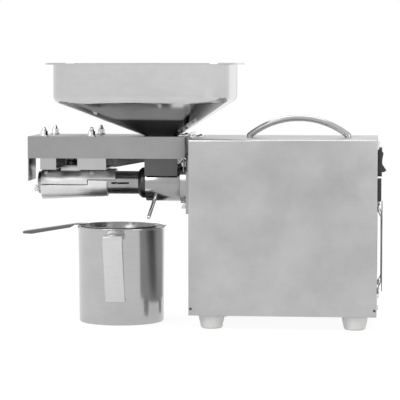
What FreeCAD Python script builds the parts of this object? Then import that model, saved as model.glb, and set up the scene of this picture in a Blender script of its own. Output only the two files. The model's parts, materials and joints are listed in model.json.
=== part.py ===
"""Screw oil press: motor housing, gear train, press barrel, hinged hood with
hopper, oil cup and strainer.  Millimetres, +Z up, +X towards the switch end,
-Y towards the user.  The origin is at the middle of the overall footprint."""
import FreeCAD, Part
import math
import os
import re
from FreeCAD import Placement, Rotation, Vector
import Sketcher

# Driving dimensions, one plain number each.
SIZES = {
    # housing
    "housing_start": -11.3,
    "housing_length": 237.4,
    "housing_width": 170.0,
    "housing_height": 223.1,
    "housing_sheet": 1.2,
    "bend_radius": 2.5,
    "panel_screw_radius": 3.5,
    "panel_screw_head": 2.2,
    "panel_screw_rise": 10.0,
    "panel_screw_spread": 62.0,
    "foot_height": 18.5,
    "foot_top_radius": 17.0,
    "foot_bottom_radius": 14.0,
    "foot_end_inset": 27.5,
    "foot_side_inset": 25.0,
    "foot_screw_radius": 2.5,
    "foot_screw_head": 3.0,
    "foot_screw_sink": 4.0,
    # carry handle
    "handle_rod_radius": 4.0,
    "handle_centre": 135.6,
    "handle_span": 127.6,
    "handle_rise": 25.0,
    "handle_tail": 9.0,
    "handle_stand": 2.5,
    "handle_fit": 0.1,
    "handle_nut_flats": 10.0,
    "handle_nut_height": 5.0,
    # switch, inlet and fan on the right end
    "switch_drop": 49.5,
    "switch_rim": 2.5,
    "switch_width": 27.0,
    "switch_length": 36.8,
    "switch_bezel": 5.6,
    "switch_depth": 24.0,
    "rocker_width": 20.0,
    "rocker_length": 26.0,
    "rocker_end_gap": 2.2,
    "rocker_well": 9.0,
    "rocker_back": -6.0,
    "rocker_chamfer": 3.0,
    "rocker_waist": 0.4,
    "rocker_step": 3.7,
    "rocker_proud": 11.2,
    "rocker_gap": 0.4,
    "rocker_lobe_inset": 2.0,
    "rocker_lobe_drop": 3.0,
    "rocker_pin_radius": 1.5,
    "rocker_pin_fit": 0.1,
    "inlet_gap": 4.1,
    "inlet_ear": 9.0,
    "inlet_screw_spacing": 40.0,
    "inlet_screw_radius": 1.6,
    "inlet_width": 48.0,
    "inlet_length": 27.4,
    "inlet_proud": 5.0,
    "inlet_depth": 18.0,
    "inlet_wall": 1.5,
    "inlet_well_depth": 15.0,
    "inlet_pin_spacing": 7.0,
    "inlet_pin_rise": 2.5,
    "fan_inlet_gap": 2.2,
    "fan_floor_gap": 0.3,
    "fan_size": 120.0,
    "fan_depth": 25.0,
    "fan_screw_spacing": 104.8,
    "fan_screw_radius": 2.0,
    "fan_screw_head": 2.0,
    "fan_bore": 57.0,
    "fan_tip_gap": 1.5,
    "fan_hub_radius": 20.0,
    "fan_hub_cap": 3.0,
    "fan_spider": 4.0,
    "fan_spider_gap": 1.0,
    "fan_face_gap": 1.5,
    "fan_pin_gap": 0.5,
    "fan_blades": 7,
    "fan_blade_thickness": 1.5,
    "fan_blade_pitch": 50.0,
    "fan_blade_spare": 10.0,
    "fan_pin_radius": 2.0,
    "guard_radius": 58.0,
    "guard_wire": 1.4,
    "guard_proud": 7.0,
    "guard_rings": 5,
    # gear train
    "press_drop": 59.8,
    "first_module": 1.0,
    "second_module": 1.5,
    "pinion_teeth": 12,
    "wheel_teeth": 60,
    "output_teeth": 48,
    "first_face": 12.0,
    "second_face": 15.0,
    "root_depth": 1.25,
    "pinion_addendum": 1.0,
    "wheel_addendum": 0.75,
    "web_hole_radius": 4.5,
    "shaft_end_gap": 0.5,
    "gear_gap": 4.0,
    "gear_backlash": 0.25,
    "case_wall": 4.0,
    "case_width": 88.0,
    "case_gear_gap": 3.0,
    "case_foot": 14.0,
    "output_shaft_radius": 10.0,
    "middle_shaft_radius": 5.0,
    "bearing_fit": 0.03,
    "output_bearing_radius": 21.0,
    "output_rear_bearing_radius": 17.0,
    "bearing_inset": 3.0,
    "output_bearing_width": 12.0,
    "middle_bearing_radius": 13.0,
    # motor and electrics
    "motor_radius": 45.0,
    "motor_length": 86.0,
    "motor_wall": 16.0,
    "motor_bell": 12.0,
    "motor_shaft_radius": 4.0,
    "rotor_gap": 0.8,
    "rotor_end_gap": 3.0,
    "motor_bearing_radius": 11.0,
    "motor_case_gap": 3.0,
    "bracket_thickness": 3.0,
    "bracket_width": 70.0,
    "bracket_saddle": 14.0,
    "capacitor_radius": 15.0,
    "capacitor_length": 48.0,
    "board_length": 70.0,
    "board_width": 50.0,
    "board_thickness": 1.6,
    "board_standoff": 6.0,
    "board_place": 40.0,
    "board_rise": 130.0,
    # mounting flange and press barrel
    "flange_size": 76.0,
    "flange_thickness": 8.0,
    "spacer_radius": 29.0,
    "spacer_length": 8.8,
    "flange_bolt_spacing": 54.0,
    "flange_bolt_radius": 3.0,
    "flange_bolt_head": 6.0,
    "flange_nut": 3.2,
    "collar_radius": 23.8,
    "collar_length": 45.7,
    "cone_length": 10.0,
    "cone_radius": 20.0,
    "cage_radius": 15.0,
    "cage_bore": 11.0,
    "cage_length": 165.0,
    "cage_seat": 38.0,
    "cage_slot_length": 23.0,
    "cage_slot_width": 2.5,
    "cage_slot_gap": 12.0,
    "cage_slots": 8,
    "screw_root_radius": 7.0,
    "screw_flight": 3.5,
    "screw_pitch": 22.0,
    "screw_flight_width": 4.0,
    "screw_end_gap": 0.5,
    "feed_port_length": 26.0,
    "feed_port_width": 20.0,
    "locking_bar_radius": 2.5,
    "locking_bar_length": 41.0,
    "locking_bar_place": 12.4,
    "locking_bar_seat": 7.5,
    "locking_bar_turn": 48.0,
    "locking_bar_lean": 10.0,
    "locking_bar_fit": 0.05,
    "head_length": 15.2,
    "head_radius": 15.0,
    "nozzle_radius": 3.5,
    "nozzle_bolt_drop": 8.0,
    "nozzle_bolt_flats": 8.0,
    "nozzle_bolt_head": 6.5,
    # heater jacket
    "jacket_gap": 0.3,
    "jacket_inset": 10.0,
    "jacket_wall": 3.0,
    "upper_jacket_length": 98.0,
    "upper_jacket_step": 61.0,
    "upper_step_rise": 6.0,
    "lower_jacket_length": 87.0,
    "lower_jacket_left": 22.2,
    "lower_jacket_right": 17.9,
    "jacket_split": 1.0,
    "jacket_overlap": 1.8,
    "jacket_screw_first": 6.0,
    "jacket_screw_second": 66.8,
    "jacket_screw_tilt": 44.0,
    "jacket_screw_radius": 3.2,
    "jacket_screw_head": 1.8,
    "thermostat_radius": 8.0,
    "thermostat_height": 6.0,
    "hump_place": 25.0,
    "hump_length": 26.0,
    "hump_width": 20.0,
    "hump_rise": 4.8,
    # hood
    "hood_head_gap": 5.5,
    "hood_width": 98.0,
    "hood_rise": 1.9,
    "hood_drop": 28.2,
    "hood_sheet": 1.2,
    "hood_gap": 8.2,
    "hood_left_drop": 57.5,
    "hood_left_depth": 53.0,
    "hood_right_drop": 45.5,
    "hood_skirt_drop": 45.0,
    "hood_skirt_rise": 13.0,
    "hood_skirt_flat": 96.0,
    "notch_side_gap": 8.0,
    "notch_top_gap": 4.5,
    "cap_nut_flats": 8.0,
    "cap_nut_height": 11.0,
    "cap_nut_washer": 6.0,
    "washer_thickness": 1.2,
    "stud_radius": 2.5,
    "stud_first": 20.7,
    "stud_second": 82.4,
    "stud_spacing": 87.0,
    "stud_nut": 4.0,
    "stud_leg_gap": 5.0,
    "hanger_lip_edge": 3.9,
    "hanger_sheet": 2.0,
    "hanger_first_width": 20.8,
    "hanger_second_width": 37.3,
    "hanger_first_place": 14.3,
    "hanger_second_place": 62.8,
    # hinge
    "hinge_length": 60.0,
    "hinge_knuckle": 20.0,
    "hinge_radius": 2.6,
    "hinge_pin_radius": 1.5,
    "hinge_fit": 0.05,
    "hinge_sheet": 1.6,
    "hinge_reach": 15.9,
    "hinge_tongue": 7.0,
    "hinge_tongue_rise": 0.6,
    "hinge_hood_reach": 13.6,
    "hinge_drop": 4.1,
    "hinge_rise": 1.7,
    "hinge_gap": 0.3,
    "hinge_screw_radius": 2.6,
    "hinge_screw_head": 1.4,
    # feed throat and hopper
    "throat_centre": 41.5,
    "throat_length": 43.0,
    "throat_inner_width": 49.0,
    "throat_side_rise": 10.2,
    "throat_end_gap": 1.5,
    "throat_sheet": 1.2,
    "hopper_length": 223.0,
    "hopper_width": 210.0,
    "hopper_rise": 94.5,
    "hopper_side": 45.0,
    "hopper_bend": 9.0,
    "hopper_corner": 35.0,
    "hopper_flange": 10.0,
    "hopper_hem": 2.5,
    "hopper_sheet": 1.2,
    "hopper_shift": 20.5,
    "hopper_seat_gap": 0.3,
    "hopper_neck_length": 38.0,
    "hopper_neck_width": 45.0,
    "hopper_neck_drop": 20.0,
    "hopper_neck_corner": 4.0,
    # cup and strainer
    "cup_place": -107.8,
    "cup_bottom_radius": 55.35,
    "cup_top_radius": 56.5,
    "cup_height": 125.2,
    "cup_wall": 0.9,
    "cup_lip": 1.1,
    "grip_width": 25.0,
    "grip_top": 118.0,
    "grip_bottom": 32.0,
    "grip_reach": 33.0,
    "grip_foot_reach": 8.0,
    "grip_sheet": 1.5,
    "grip_flange": 4.5,
    "strainer_shift": 4.0,
    "strainer_radius": 49.0,
    "strainer_floor_radius": 44.0,
    "strainer_depth": 16.0,
    "strainer_wall": 1.0,
    "strainer_gap": 0.3,
    "strainer_handle_tip": -237.3,
    "strainer_handle_width": 20.0,
    "strainer_handle_fall": 10.5,
    "strainer_handle_depth": 3.6,
    "strainer_handle_sheet": 1.2,
    "lug_length": 14.0,
    "lug_width": 12.0,
}

doc = FreeCAD.newDocument("screw_oil_press")
sheet = doc.addObject("Spreadsheet::Sheet", "Sizes")
for row, (alias, value) in enumerate(SIZES.items(), start=1):
    sheet.set("A%d" % row, alias)
    sheet.set("B%d" % row, str(value))
    sheet.setAlias("B%d" % row, alias)
doc.recompute()

pieces = []

# Places worked out from the driving dimensions.
HOUSING_END = "(housing_start + housing_length)"
HOUSING_TOP = "(foot_height + housing_height)"
HALF_WIDTH = "(housing_width / 2)"
INSIDE_START = "(housing_start + housing_sheet)"
INSIDE_END = "(housing_start + housing_length - housing_sheet)"
INSIDE_HALF = "(housing_width / 2 - housing_sheet)"
FLOOR_TOP = "(foot_height + housing_sheet)"
PRESS_Z = "(foot_height + housing_height - press_drop)"
SECOND_CENTRES = "(second_module * (pinion_teeth + output_teeth) / 2)"
FIRST_CENTRES = "(first_module * (pinion_teeth + wheel_teeth) / 2)"
MIDDLE_Z = "(%s - %s)" % (PRESS_Z, SECOND_CENTRES)
MOTOR_Z = "(%s - %s)" % (MIDDLE_Z, FIRST_CENTRES)
SWITCH_Z = "(foot_height + housing_height - switch_drop)"
INLET_Z = "(%s - inlet_gap - inlet_length)" % SWITCH_Z
FAN_LOWEST = "(%s + fan_floor_gap + fan_size / 2)" % FLOOR_TOP
FAN_UNDER_INLET = "(%s + switch_rim - fan_inlet_gap - fan_size / 2)" % INLET_Z
FAN_Z = "max(%s; %s)" % (FAN_LOWEST, FAN_UNDER_INLET)
SECOND_START = "(%s + case_wall + gear_gap)" % INSIDE_START
FIRST_START = "(%s + second_face + gear_gap)" % SECOND_START
CASE_END = "(%s + first_face + gear_gap)" % FIRST_START
COVER_END = "(%s + case_wall)" % CASE_END
MOTOR_START = "(%s + motor_case_gap)" % COVER_END
MOTOR_END = "(%s + motor_length + 2 * motor_bell)" % MOTOR_START
SPACER_START = "(housing_start - flange_thickness - spacer_length)"
COLLAR_START = "(%s - collar_length)" % SPACER_START
CONE_START = "(%s - cone_length)" % COLLAR_START
CAGE_END = "(%s + cage_seat)" % COLLAR_START
CAGE_START = "(%s - cage_length)" % CAGE_END
HEAD_START = "(%s - head_length)" % CAGE_START
HOOD_END = "(housing_start - hood_gap)"
HOOD_START = "(%s - hood_head_gap - hood_sheet)" % HEAD_START
HOOD_LENGTH = "(%s - %s)" % (HOOD_END, HOOD_START)
HOOD_TOP = "(foot_height + housing_height + hood_rise)"
HOOD_UNDER = "(%s - hood_sheet)" % HOOD_TOP
HOPPER_TOP = "(%s + hopper_rise)" % HOOD_TOP
JACKET_START = "(%s + hood_sheet + jacket_inset)" % HOOD_START
JACKET_BORE = "(cage_radius + jacket_gap)"
JACKET_TOP = "(%s + cage_radius + jacket_gap + jacket_wall)" % PRESS_Z
HINGE_X = "(housing_start - hinge_drop)"
HINGE_Z = "(%s + hinge_rise)" % HOOD_TOP
THROAT_X = "(housing_start - throat_centre)"
HOPPER_X = "(housing_start - throat_centre - hopper_shift)"
STRAINER_Z = "(cup_height + strainer_gap)"

ALONG_X = Rotation(Vector(0, 1, 0), 90)
ALONG_Y = Rotation(Vector(1, 0, 0), -90)
UPRIGHT = Rotation()
FACING_X = Rotation(Vector(0, 1, 0), Vector(0, 0, 1), Vector(1, 0, 0), "XYZ")
FACING_USER = Rotation(Vector(1, 0, 0), Vector(0, 0, 1), Vector(0, -1, 0), "XYZ")


def formula(text):
    """The same text with each alias named as a cell of the sheet."""
    def cell(word):
        return "Sizes." + word.group(0) if word.group(0) in SIZES else word.group(0)
    return re.sub(r"[a-z_]+", cell, text)


def size(text):
    """The number that a formula gives."""
    return float(sheet.evalExpression(formula(text)))


def bind(thing, **formulas):
    """Tie properties of a document object to the sheet."""
    for name, text in formulas.items():
        thing.setExpression(name.replace("__", "."), formula(text))
    return thing


def place(thing, x, y, z, turn=UPRIGHT):
    """Turn an object, then tie its place to the sheet."""
    thing.Placement = Placement(Vector(), turn)
    return bind(thing, Placement__Base__x=x, Placement__Base__y=y, Placement__Base__z=z)


def box(name, start, extent):
    """A block from its lowest corner and its length, width and height."""
    block = doc.addObject("Part::Box", name)
    bind(block, Length=extent[0], Width=extent[1], Height=extent[2])
    return place(block, *start)


def rod(name, radius, length, start, turn=UPRIGHT):
    """A round bar that starts at a point and runs along the turned Z axis."""
    bar = doc.addObject("Part::Cylinder", name)
    bind(bar, Radius=radius, Height=length)
    return place(bar, *start, turn)


def hexagon(name, flats, height, start, turn=UPRIGHT):
    """A hexagonal bar, as a nut or bolt head."""
    bar = doc.addObject("Part::Prism", name)
    bar.Polygon = 6
    bind(bar, Circumradius="(%s) / sqrt(3)" % flats, Height=height)
    return place(bar, *start, turn)


def join(name, *parts):
    """Several overlapping or touching shapes as one solid."""
    result = doc.addObject("Part::MultiFuse", name)
    result.Shapes = list(parts)
    result.Refine = True
    return result


def cut(name, base, *tools):
    """A shape with one or more others taken out of it."""
    result = doc.addObject("Part::Cut", name)
    result.Base = base
    result.Tool = tools[0] if len(tools) == 1 else join(name + "_tools", *tools)
    return result


def group(name, parts):
    """Like fasteners kept together as separate solids."""
    result = doc.addObject("Part::Compound", name)
    result.Links = list(parts)
    return result


def piece(label, thing):
    """Name a finished sub-part and put it on the list of pieces."""
    thing.Label = label
    pieces.append(thing)
    return thing


def origin_plane(body, role):
    """One of a body's own origin planes."""
    return [plane for plane in body.Origin.OriginFeatures if plane.Role == role][0]


def draw(body, name, role, points):
    """A closed sketch of straight lines whose corners are tied to the sheet."""
    sketch = body.newObject("Sketcher::SketchObject", name)
    sketch.AttachmentSupport = [(origin_plane(body, role), "")]
    sketch.MapMode = "FlatFace"
    spots = [Vector(size(across), size(up), 0) for across, up in points]
    for index, spot in enumerate(spots):
        following = spots[(index + 1) % len(spots)]
        sketch.addGeometry(Part.LineSegment(spot, following), False)
    for index, (across, up) in enumerate(points):
        before = (index - 1) % len(points)
        sketch.addConstraint(Sketcher.Constraint("Coincident", before, 2, index, 1))
        for kind, text, axis in (("DistanceX", across, -2), ("DistanceY", up, -1)):
            if text == "0":
                sketch.addConstraint(Sketcher.Constraint("PointOnObject", index, 1, axis))
                continue
            tie = Sketcher.Constraint(kind, -1, 1, index, 1, size(text))
            number = sketch.addConstraint(tie)
            sketch.setExpression("Constraints[%d]" % number, formula(text))
    return sketch


def turned(label, profile, start, turn=UPRIGHT):
    """A turned piece: its half section of (radius, height) corners."""
    body = doc.addObject("PartDesign::Body", label)
    sketch = draw(body, label + "_profile", "XZ_Plane", profile)
    spin = body.newObject("PartDesign::Revolution", label + "_turned")
    spin.Profile = sketch
    spin.ReferenceAxis = (sketch, ["V_Axis"])
    spin.Angle = 360
    sketch.Visibility = False
    return place(body, *start, turn)


def plate(label, outline, thickness, start, turn=UPRIGHT):
    """A flat or folded piece: its outline pushed to a thickness."""
    body = doc.addObject("PartDesign::Body", label)
    sketch = draw(body, label + "_outline", "XY_Plane", outline)
    pad = body.newObject("PartDesign::Pad", label + "_pad")
    pad.Profile = sketch
    bind(pad, Length=thickness)
    sketch.Visibility = False
    return place(body, *start, turn)


def shaped(label, shape, start=("0", "0", "0"), turn=UPRIGHT):
    """A free shape from Part's own functions, with its place on the sheet."""
    feature = doc.addObject("Part::Feature", label)
    feature.Shape = shape
    return place(feature, *start, turn)


def square(spacing):
    """The four corners of a square about zero, as pairs of formulas."""
    pair = mirrored_pair(spacing)
    return [(across, rise) for across in pair for rise in pair]


def mirrored_pair(spacing):
    """The two places of a pair about zero, as formulas."""
    return ["(-(%s) / 2)" % spacing, "((%s) / 2)" % spacing]


# ---- Housing -------------------------------------------------------------

def housing_wrap():
    """Front, top and back as one sheet folded over the top."""
    outline = [
        ("-housing_width / 2", "foot_height"),
        ("-housing_width / 2", HOUSING_TOP),
        ("housing_width / 2", HOUSING_TOP),
        ("housing_width / 2", "foot_height"),
        (INSIDE_HALF, "foot_height"),
        (INSIDE_HALF, HOUSING_TOP + " - housing_sheet"),
        ("-" + INSIDE_HALF, HOUSING_TOP + " - housing_sheet"),
        ("-" + INSIDE_HALF, "foot_height"),
    ]
    body = plate("wrap_folded", outline, "housing_length", ("housing_start", "0", "0"), FACING_X)
    doc.recompute()
    pad = body.Tip
    outer = []
    for number, edge in enumerate(pad.Shape.Edges, start=1):
        middle = edge.CenterOfMass
        along = abs(edge.Length - size("housing_length")) < 0.01
        top = abs(middle.y - size(HOUSING_TOP)) < 0.01
        if along and top:
            outer.append("Edge%d" % number)
    fold = body.newObject("PartDesign::Fillet", "housing_fold")
    fold.Base = (pad, outer)
    bind(fold, Radius="bend_radius")
    return body


def end_plate(name, start):
    """The blank of an end wall, which fits inside the folded sheet."""
    low = (start, "-" + INSIDE_HALF, "foot_height")
    extent = ("housing_sheet", "2 * " + INSIDE_HALF, "housing_height - housing_sheet")
    corner = box(name + "_sheet", low, extent)
    rounded = doc.addObject("Part::Fillet", name + "_blank")
    rounded.Base = corner
    doc.recompute()
    inner = size("bend_radius - housing_sheet")
    chosen = []
    for number, edge in enumerate(corner.Shape.Edges, start=1):
        along = abs(edge.Length - size("housing_sheet")) < 0.01
        high = edge.CenterOfMass.z > size("foot_height") + size("housing_height") / 2
        if along and high:
            chosen.append((number, inner, inner))
    rounded.Edges = chosen
    return rounded


def left_end_plate():
    """Inner end wall, with the bearing hole and the flange's bolt holes."""
    tools = [rod("shaft_hole", "output_bearing_radius", "3 * housing_sheet",
                 ("housing_start - housing_sheet", "0", PRESS_Z), ALONG_X)]
    for number, (across, rise) in enumerate(square("flange_bolt_spacing")):
        tools.append(rod("left_bolt_hole_%d" % number, "flange_bolt_radius", "3 * housing_sheet",
                         ("housing_start - housing_sheet", across, PRESS_Z + " + " + rise),
                         ALONG_X))
    return cut("left_end", end_plate("left_end", "housing_start"), *tools)


def right_end_plate():
    """Outer end wall: fan opening, switch and inlet cut-outs, screw holes."""
    wall = INSIDE_END + " - housing_sheet"
    tools = [
        rod("fan_opening", "fan_bore", "3 * housing_sheet", (wall, "0", FAN_Z), ALONG_X),
        box("switch_opening", (wall, "-switch_width / 2 + switch_rim",
                               SWITCH_Z + " + switch_rim"),
            ("3 * housing_sheet", "switch_width - 2 * switch_rim",
             "switch_length - 2 * switch_rim")),
        box("inlet_opening", (wall, "-inlet_width / 2 + inlet_ear", INLET_Z + " + switch_rim"),
            ("3 * housing_sheet", "inlet_width - 2 * inlet_ear",
             "inlet_length - 2 * switch_rim")),
    ]
    for number, (across, rise) in enumerate(square("fan_screw_spacing")):
        tools.append(rod("fan_screw_hole_%d" % number, "fan_screw_radius",
                         "3 * housing_sheet", (wall, across, FAN_Z + " + " + rise), ALONG_X))
    for number, across in enumerate(mirrored_pair("inlet_screw_spacing")):
        tools.append(rod("inlet_screw_hole_%d" % number, "inlet_screw_radius",
                         "3 * housing_sheet",
                         (wall, across, INLET_Z + " + inlet_length / 2"), ALONG_X))
    return cut("right_end", end_plate("right_end", INSIDE_END), *tools)


def base_plate():
    """Floor of the housing with a hole for each foot screw."""
    low = (INSIDE_START, "-" + INSIDE_HALF, "foot_height")
    extent = (INSIDE_END + " - " + INSIDE_START, "2 * " + INSIDE_HALF, "housing_sheet")
    tools = []
    for number, (along, across) in enumerate(foot_places()):
        tools.append(rod("foot_screw_hole_%d" % number, "foot_screw_radius", "3 * housing_sheet",
                         (along, across, "foot_height - housing_sheet")))
    return cut("floor", box("floor_sheet", low, extent), *tools)


def foot_places():
    """Middles of the four feet."""
    ends = ["housing_start + foot_end_inset", HOUSING_END + " - foot_end_inset"]
    sides = ["-(%s - foot_side_inset)" % HALF_WIDTH, "%s - foot_side_inset" % HALF_WIDTH]
    return [(end, side) for end in ends for side in sides]


def feet():
    """Four tapered feet, each with a hole for its screw."""
    profile = [
        ("foot_screw_radius", "0"),
        ("foot_bottom_radius - 3", "0"),
        ("foot_bottom_radius - 0.8", "0.8"),
        ("foot_bottom_radius", "3"),
        ("foot_top_radius", "foot_height - 1.5"),
        ("foot_top_radius - 0.8", "foot_height"),
        ("foot_screw_radius", "foot_height"),
    ]
    return group("foot_set", [turned("foot_%d" % number, profile, (along, across, "0"))
                              for number, (along, across) in enumerate(foot_places())])


def foot_screws():
    """Screws and nuts that hold the feet to the floor."""
    screws = []
    for number, (along, across) in enumerate(foot_places()):
        shank = rod("foot_shank_%d" % number, "foot_screw_radius",
                    "foot_height + housing_sheet - foot_screw_sink", (along, across, "foot_screw_sink"))
        nut = hexagon("foot_nut_%d" % number, "4 * foot_screw_radius", "foot_screw_head",
                      (along, across, FLOOR_TOP))
        screws.append(join("foot_screw_%d" % number, shank, nut))
    return group("foot_screw_set", screws)


def panel_screws():
    """Pan heads that hold the folded sheet at its corners, and their shanks."""
    screws = []
    rows = ["foot_height + panel_screw_rise", HOUSING_TOP + " - panel_screw_rise"]
    columns = [("-(%s)" % "panel_screw_spread", 0), ("panel_screw_spread", 1)]
    for rank, rise in enumerate(rows):
        for across, side in columns:
            name = "%d%d" % (rank, side)
            head = doc.addObject("Part::Cone", "panel_head_" + name)
            bind(head, Radius1="panel_screw_radius", Radius2="panel_screw_radius * 0.6",
                 Height="panel_screw_head")
            place(head, HOUSING_END, across, rise, ALONG_X)
            screws.append(head)
    return group("panel_screw_set", screws)


# ---- Carry handle --------------------------------------------------------

def carry_handle():
    """Bent rod: an arc between two straight tails that pass through the top."""
    half = size("handle_span") / 2
    stand = size("handle_stand")
    rise = size("handle_rise - handle_stand")
    radius = (half * half + rise * rise) / (2 * rise)
    tail = size("handle_tail + housing_sheet + handle_stand")
    arc = Part.Arc(Vector(-half, 0, stand), Vector(0, 0, stand + rise),
                   Vector(half, 0, stand)).toShape()
    section = Part.Wire(Part.Circle(Vector(-half, 0, stand),
                                    Vector(radius - rise, 0, half).normalize(),
                                    size("handle_rod_radius")).toShape())
    bow = Part.Wire(arc).makePipeShell([section], True, True)
    ends = []
    for side in (-half, half):
        ends.append(Part.makeCylinder(size("handle_rod_radius"), tail,
                                      Vector(side, 0, stand - tail), Vector(0, 0, 1)))
        ends.append(Part.makeSphere(size("handle_rod_radius"), Vector(side, 0, stand)))
    shape = bow.multiFuse(ends).removeSplitter()
    return shaped("bow_handle", shape, ("housing_start + handle_centre", "0", HOUSING_TOP))


def handle_nuts():
    """Nuts under the top that hold the handle's tails."""
    nuts = []
    for number, along in enumerate(mirrored_pair("handle_span")):
        low = ("housing_start + handle_centre + " + along, "0",
               HOUSING_TOP + " - housing_sheet - handle_nut_height")
        nut = hexagon("handle_nut_%d" % number, "handle_nut_flats", "handle_nut_height", low)
        hole = rod("handle_nut_bore_%d" % number, "handle_rod_radius + handle_fit",
                   "handle_nut_height", low)
        nuts.append(cut("handle_nut_ring_%d" % number, nut, hole))
    return group("handle_nut_set", nuts)


def drilled_wrap():
    """The folded sheet with the holes for the handle and the hinge side bare."""
    tools = []
    for number, along in enumerate(mirrored_pair("handle_span")):
        low = ("housing_start + handle_centre + " + along, "0", HOUSING_TOP + " - 3 * housing_sheet")
        tools.append(rod("handle_hole_%d" % number, "handle_rod_radius + handle_fit",
                         "6 * housing_sheet", low))
    return cut("housing_wrap_drilled", housing_wrap(), *tools)


# ---- Switch, inlet and fan -----------------------------------------------

def switch_body():
    """Bezel and hollow body of the rocker switch."""
    bezel = box("switch_bezel_block", (HOUSING_END, "-switch_width / 2", SWITCH_Z),
                ("switch_bezel", "switch_width", "switch_length"))
    back = box("switch_back", (HOUSING_END + " - switch_depth", "-switch_width / 2 + switch_rim",
                               SWITCH_Z + " + switch_rim"),
               ("switch_depth", "switch_width - 2 * switch_rim",
                "switch_length - 2 * switch_rim"))
    well = box("switch_well", (HOUSING_END + " - rocker_well", "-rocker_width / 2 - rocker_gap",
                               SWITCH_Z + " + (switch_length - rocker_length) / 2"
                               " - rocker_end_gap"),
               ("rocker_well + 2 * switch_bezel", "rocker_width + 2 * rocker_gap",
                "rocker_length + 2 * rocker_end_gap"))
    shell = cut("switch_shell", join("switch_solid", bezel, back), well)
    pin = rod("rocker_pin", "rocker_pin_radius", "switch_width - 2 * switch_rim",
              (HOUSING_END, "-switch_width / 2 + switch_rim", SWITCH_Z + " + switch_length / 2"),
              ALONG_Y)
    return join("switch_with_pin", shell, pin)


def switch_rocker():
    """Rocker with a waisted face, lower lobe pressed out."""
    half = "rocker_length / 2"
    outline = [
        ("-" + half + " + rocker_chamfer", "rocker_back"),
        ("-" + half, "rocker_back + rocker_chamfer"),
        ("-" + half, "rocker_proud - rocker_lobe_drop"),
        ("-" + half + " + rocker_lobe_inset", "rocker_proud"),
        ("-rocker_chamfer", "switch_bezel + rocker_waist"),
        ("rocker_chamfer", "switch_bezel + rocker_waist"),
        (half + " - rocker_lobe_inset", "rocker_proud - rocker_step"),
        (half, "rocker_proud - rocker_step - 1"),
        (half, "rocker_back + rocker_chamfer"),
        (half + " - rocker_chamfer", "rocker_back"),
    ]
    turn = Rotation(Vector(0, 0, 1), Vector(1, 0, 0), Vector(0, 1, 0), "XYZ")
    low = (HOUSING_END, "-rocker_width / 2", SWITCH_Z + " + switch_length / 2")
    bore = rod("rocker_bore", "rocker_pin_radius + rocker_pin_fit", "rocker_width", low, ALONG_Y)
    return cut("rocker_bored", plate("rocker_body", outline, "rocker_width", low, turn), bore)


def power_inlet():
    """Recessed three-pin inlet with a screw ear each side."""
    ears = box("inlet_ears", (HOUSING_END, "-inlet_width / 2", INLET_Z),
               ("inlet_proud", "inlet_width", "inlet_length"))
    back = box("inlet_back", (HOUSING_END + " - inlet_depth", "-inlet_width / 2 + inlet_ear",
                              INLET_Z + " + switch_rim"),
               ("inlet_depth", "inlet_width - 2 * inlet_ear", "inlet_length - 2 * switch_rim"))
    well = box("inlet_well", (HOUSING_END + " - inlet_well_depth",
                              "-inlet_width / 2 + inlet_ear + inlet_wall",
                              INLET_Z + " + switch_rim + inlet_wall"),
               ("inlet_well_depth + 2 * inlet_proud",
                "inlet_width - 2 * inlet_ear - 2 * inlet_wall",
                "inlet_length - 2 * switch_rim - 2 * inlet_wall"))
    body = cut("inlet_body", join("inlet_solid", ears, back), well)
    pins = []
    for number, (across, rise) in enumerate([("-inlet_pin_spacing", "-inlet_pin_rise"),
                                             ("0", "inlet_pin_rise"),
                                             ("inlet_pin_spacing", "-inlet_pin_rise")]):
        middle = INLET_Z + " + inlet_length / 2 + " + rise
        pins.append(box("inlet_pin_%d" % number,
                        (HOUSING_END + " - inlet_depth", across + " - 1", middle + " - 2"),
                        ("inlet_well_depth", "2", "4")))
    return join("inlet_whole", body, *pins)


def fan_frame():
    """Square fan frame with a round bore and a spider that holds the hub."""
    start = INSIDE_END + " - fan_depth"
    low = (start, "-fan_size / 2", FAN_Z + " - fan_size / 2")
    block = box("fan_block", low, ("fan_depth", "fan_size", "fan_size"))
    bore = rod("fan_block_bore", "fan_bore", "fan_depth + 2", (start + " - 1", "0", FAN_Z), ALONG_X)
    holes = []
    for number, (across, rise) in enumerate(square("fan_screw_spacing")):
        holes.append(rod("fan_frame_hole_%d" % number, "fan_screw_radius", "fan_depth + 2",
                         (start + " - 1", across, FAN_Z + " + " + rise), ALONG_X))
    frame = cut("fan_frame_bored", block, bore, *holes)
    hub = rod("fan_hub_plate", "fan_hub_radius", "fan_spider", (start, "0", FAN_Z), ALONG_X)
    arms = [
        box("fan_arm_across", (start, "-fan_bore - 1", FAN_Z + " - fan_spider / 2"),
            ("fan_spider", "2 * fan_bore + 2", "fan_spider")),
        box("fan_arm_upright", (start, "-fan_spider / 2", FAN_Z + " - fan_bore - 1"),
            ("fan_spider", "fan_spider", "2 * fan_bore + 2")),
    ]
    pin = rod("fan_pin", "fan_pin_radius", "fan_depth - fan_hub_cap", (start, "0", FAN_Z), ALONG_X)
    return join("fan_frame_whole", frame, hub, pin, *arms)


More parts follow.
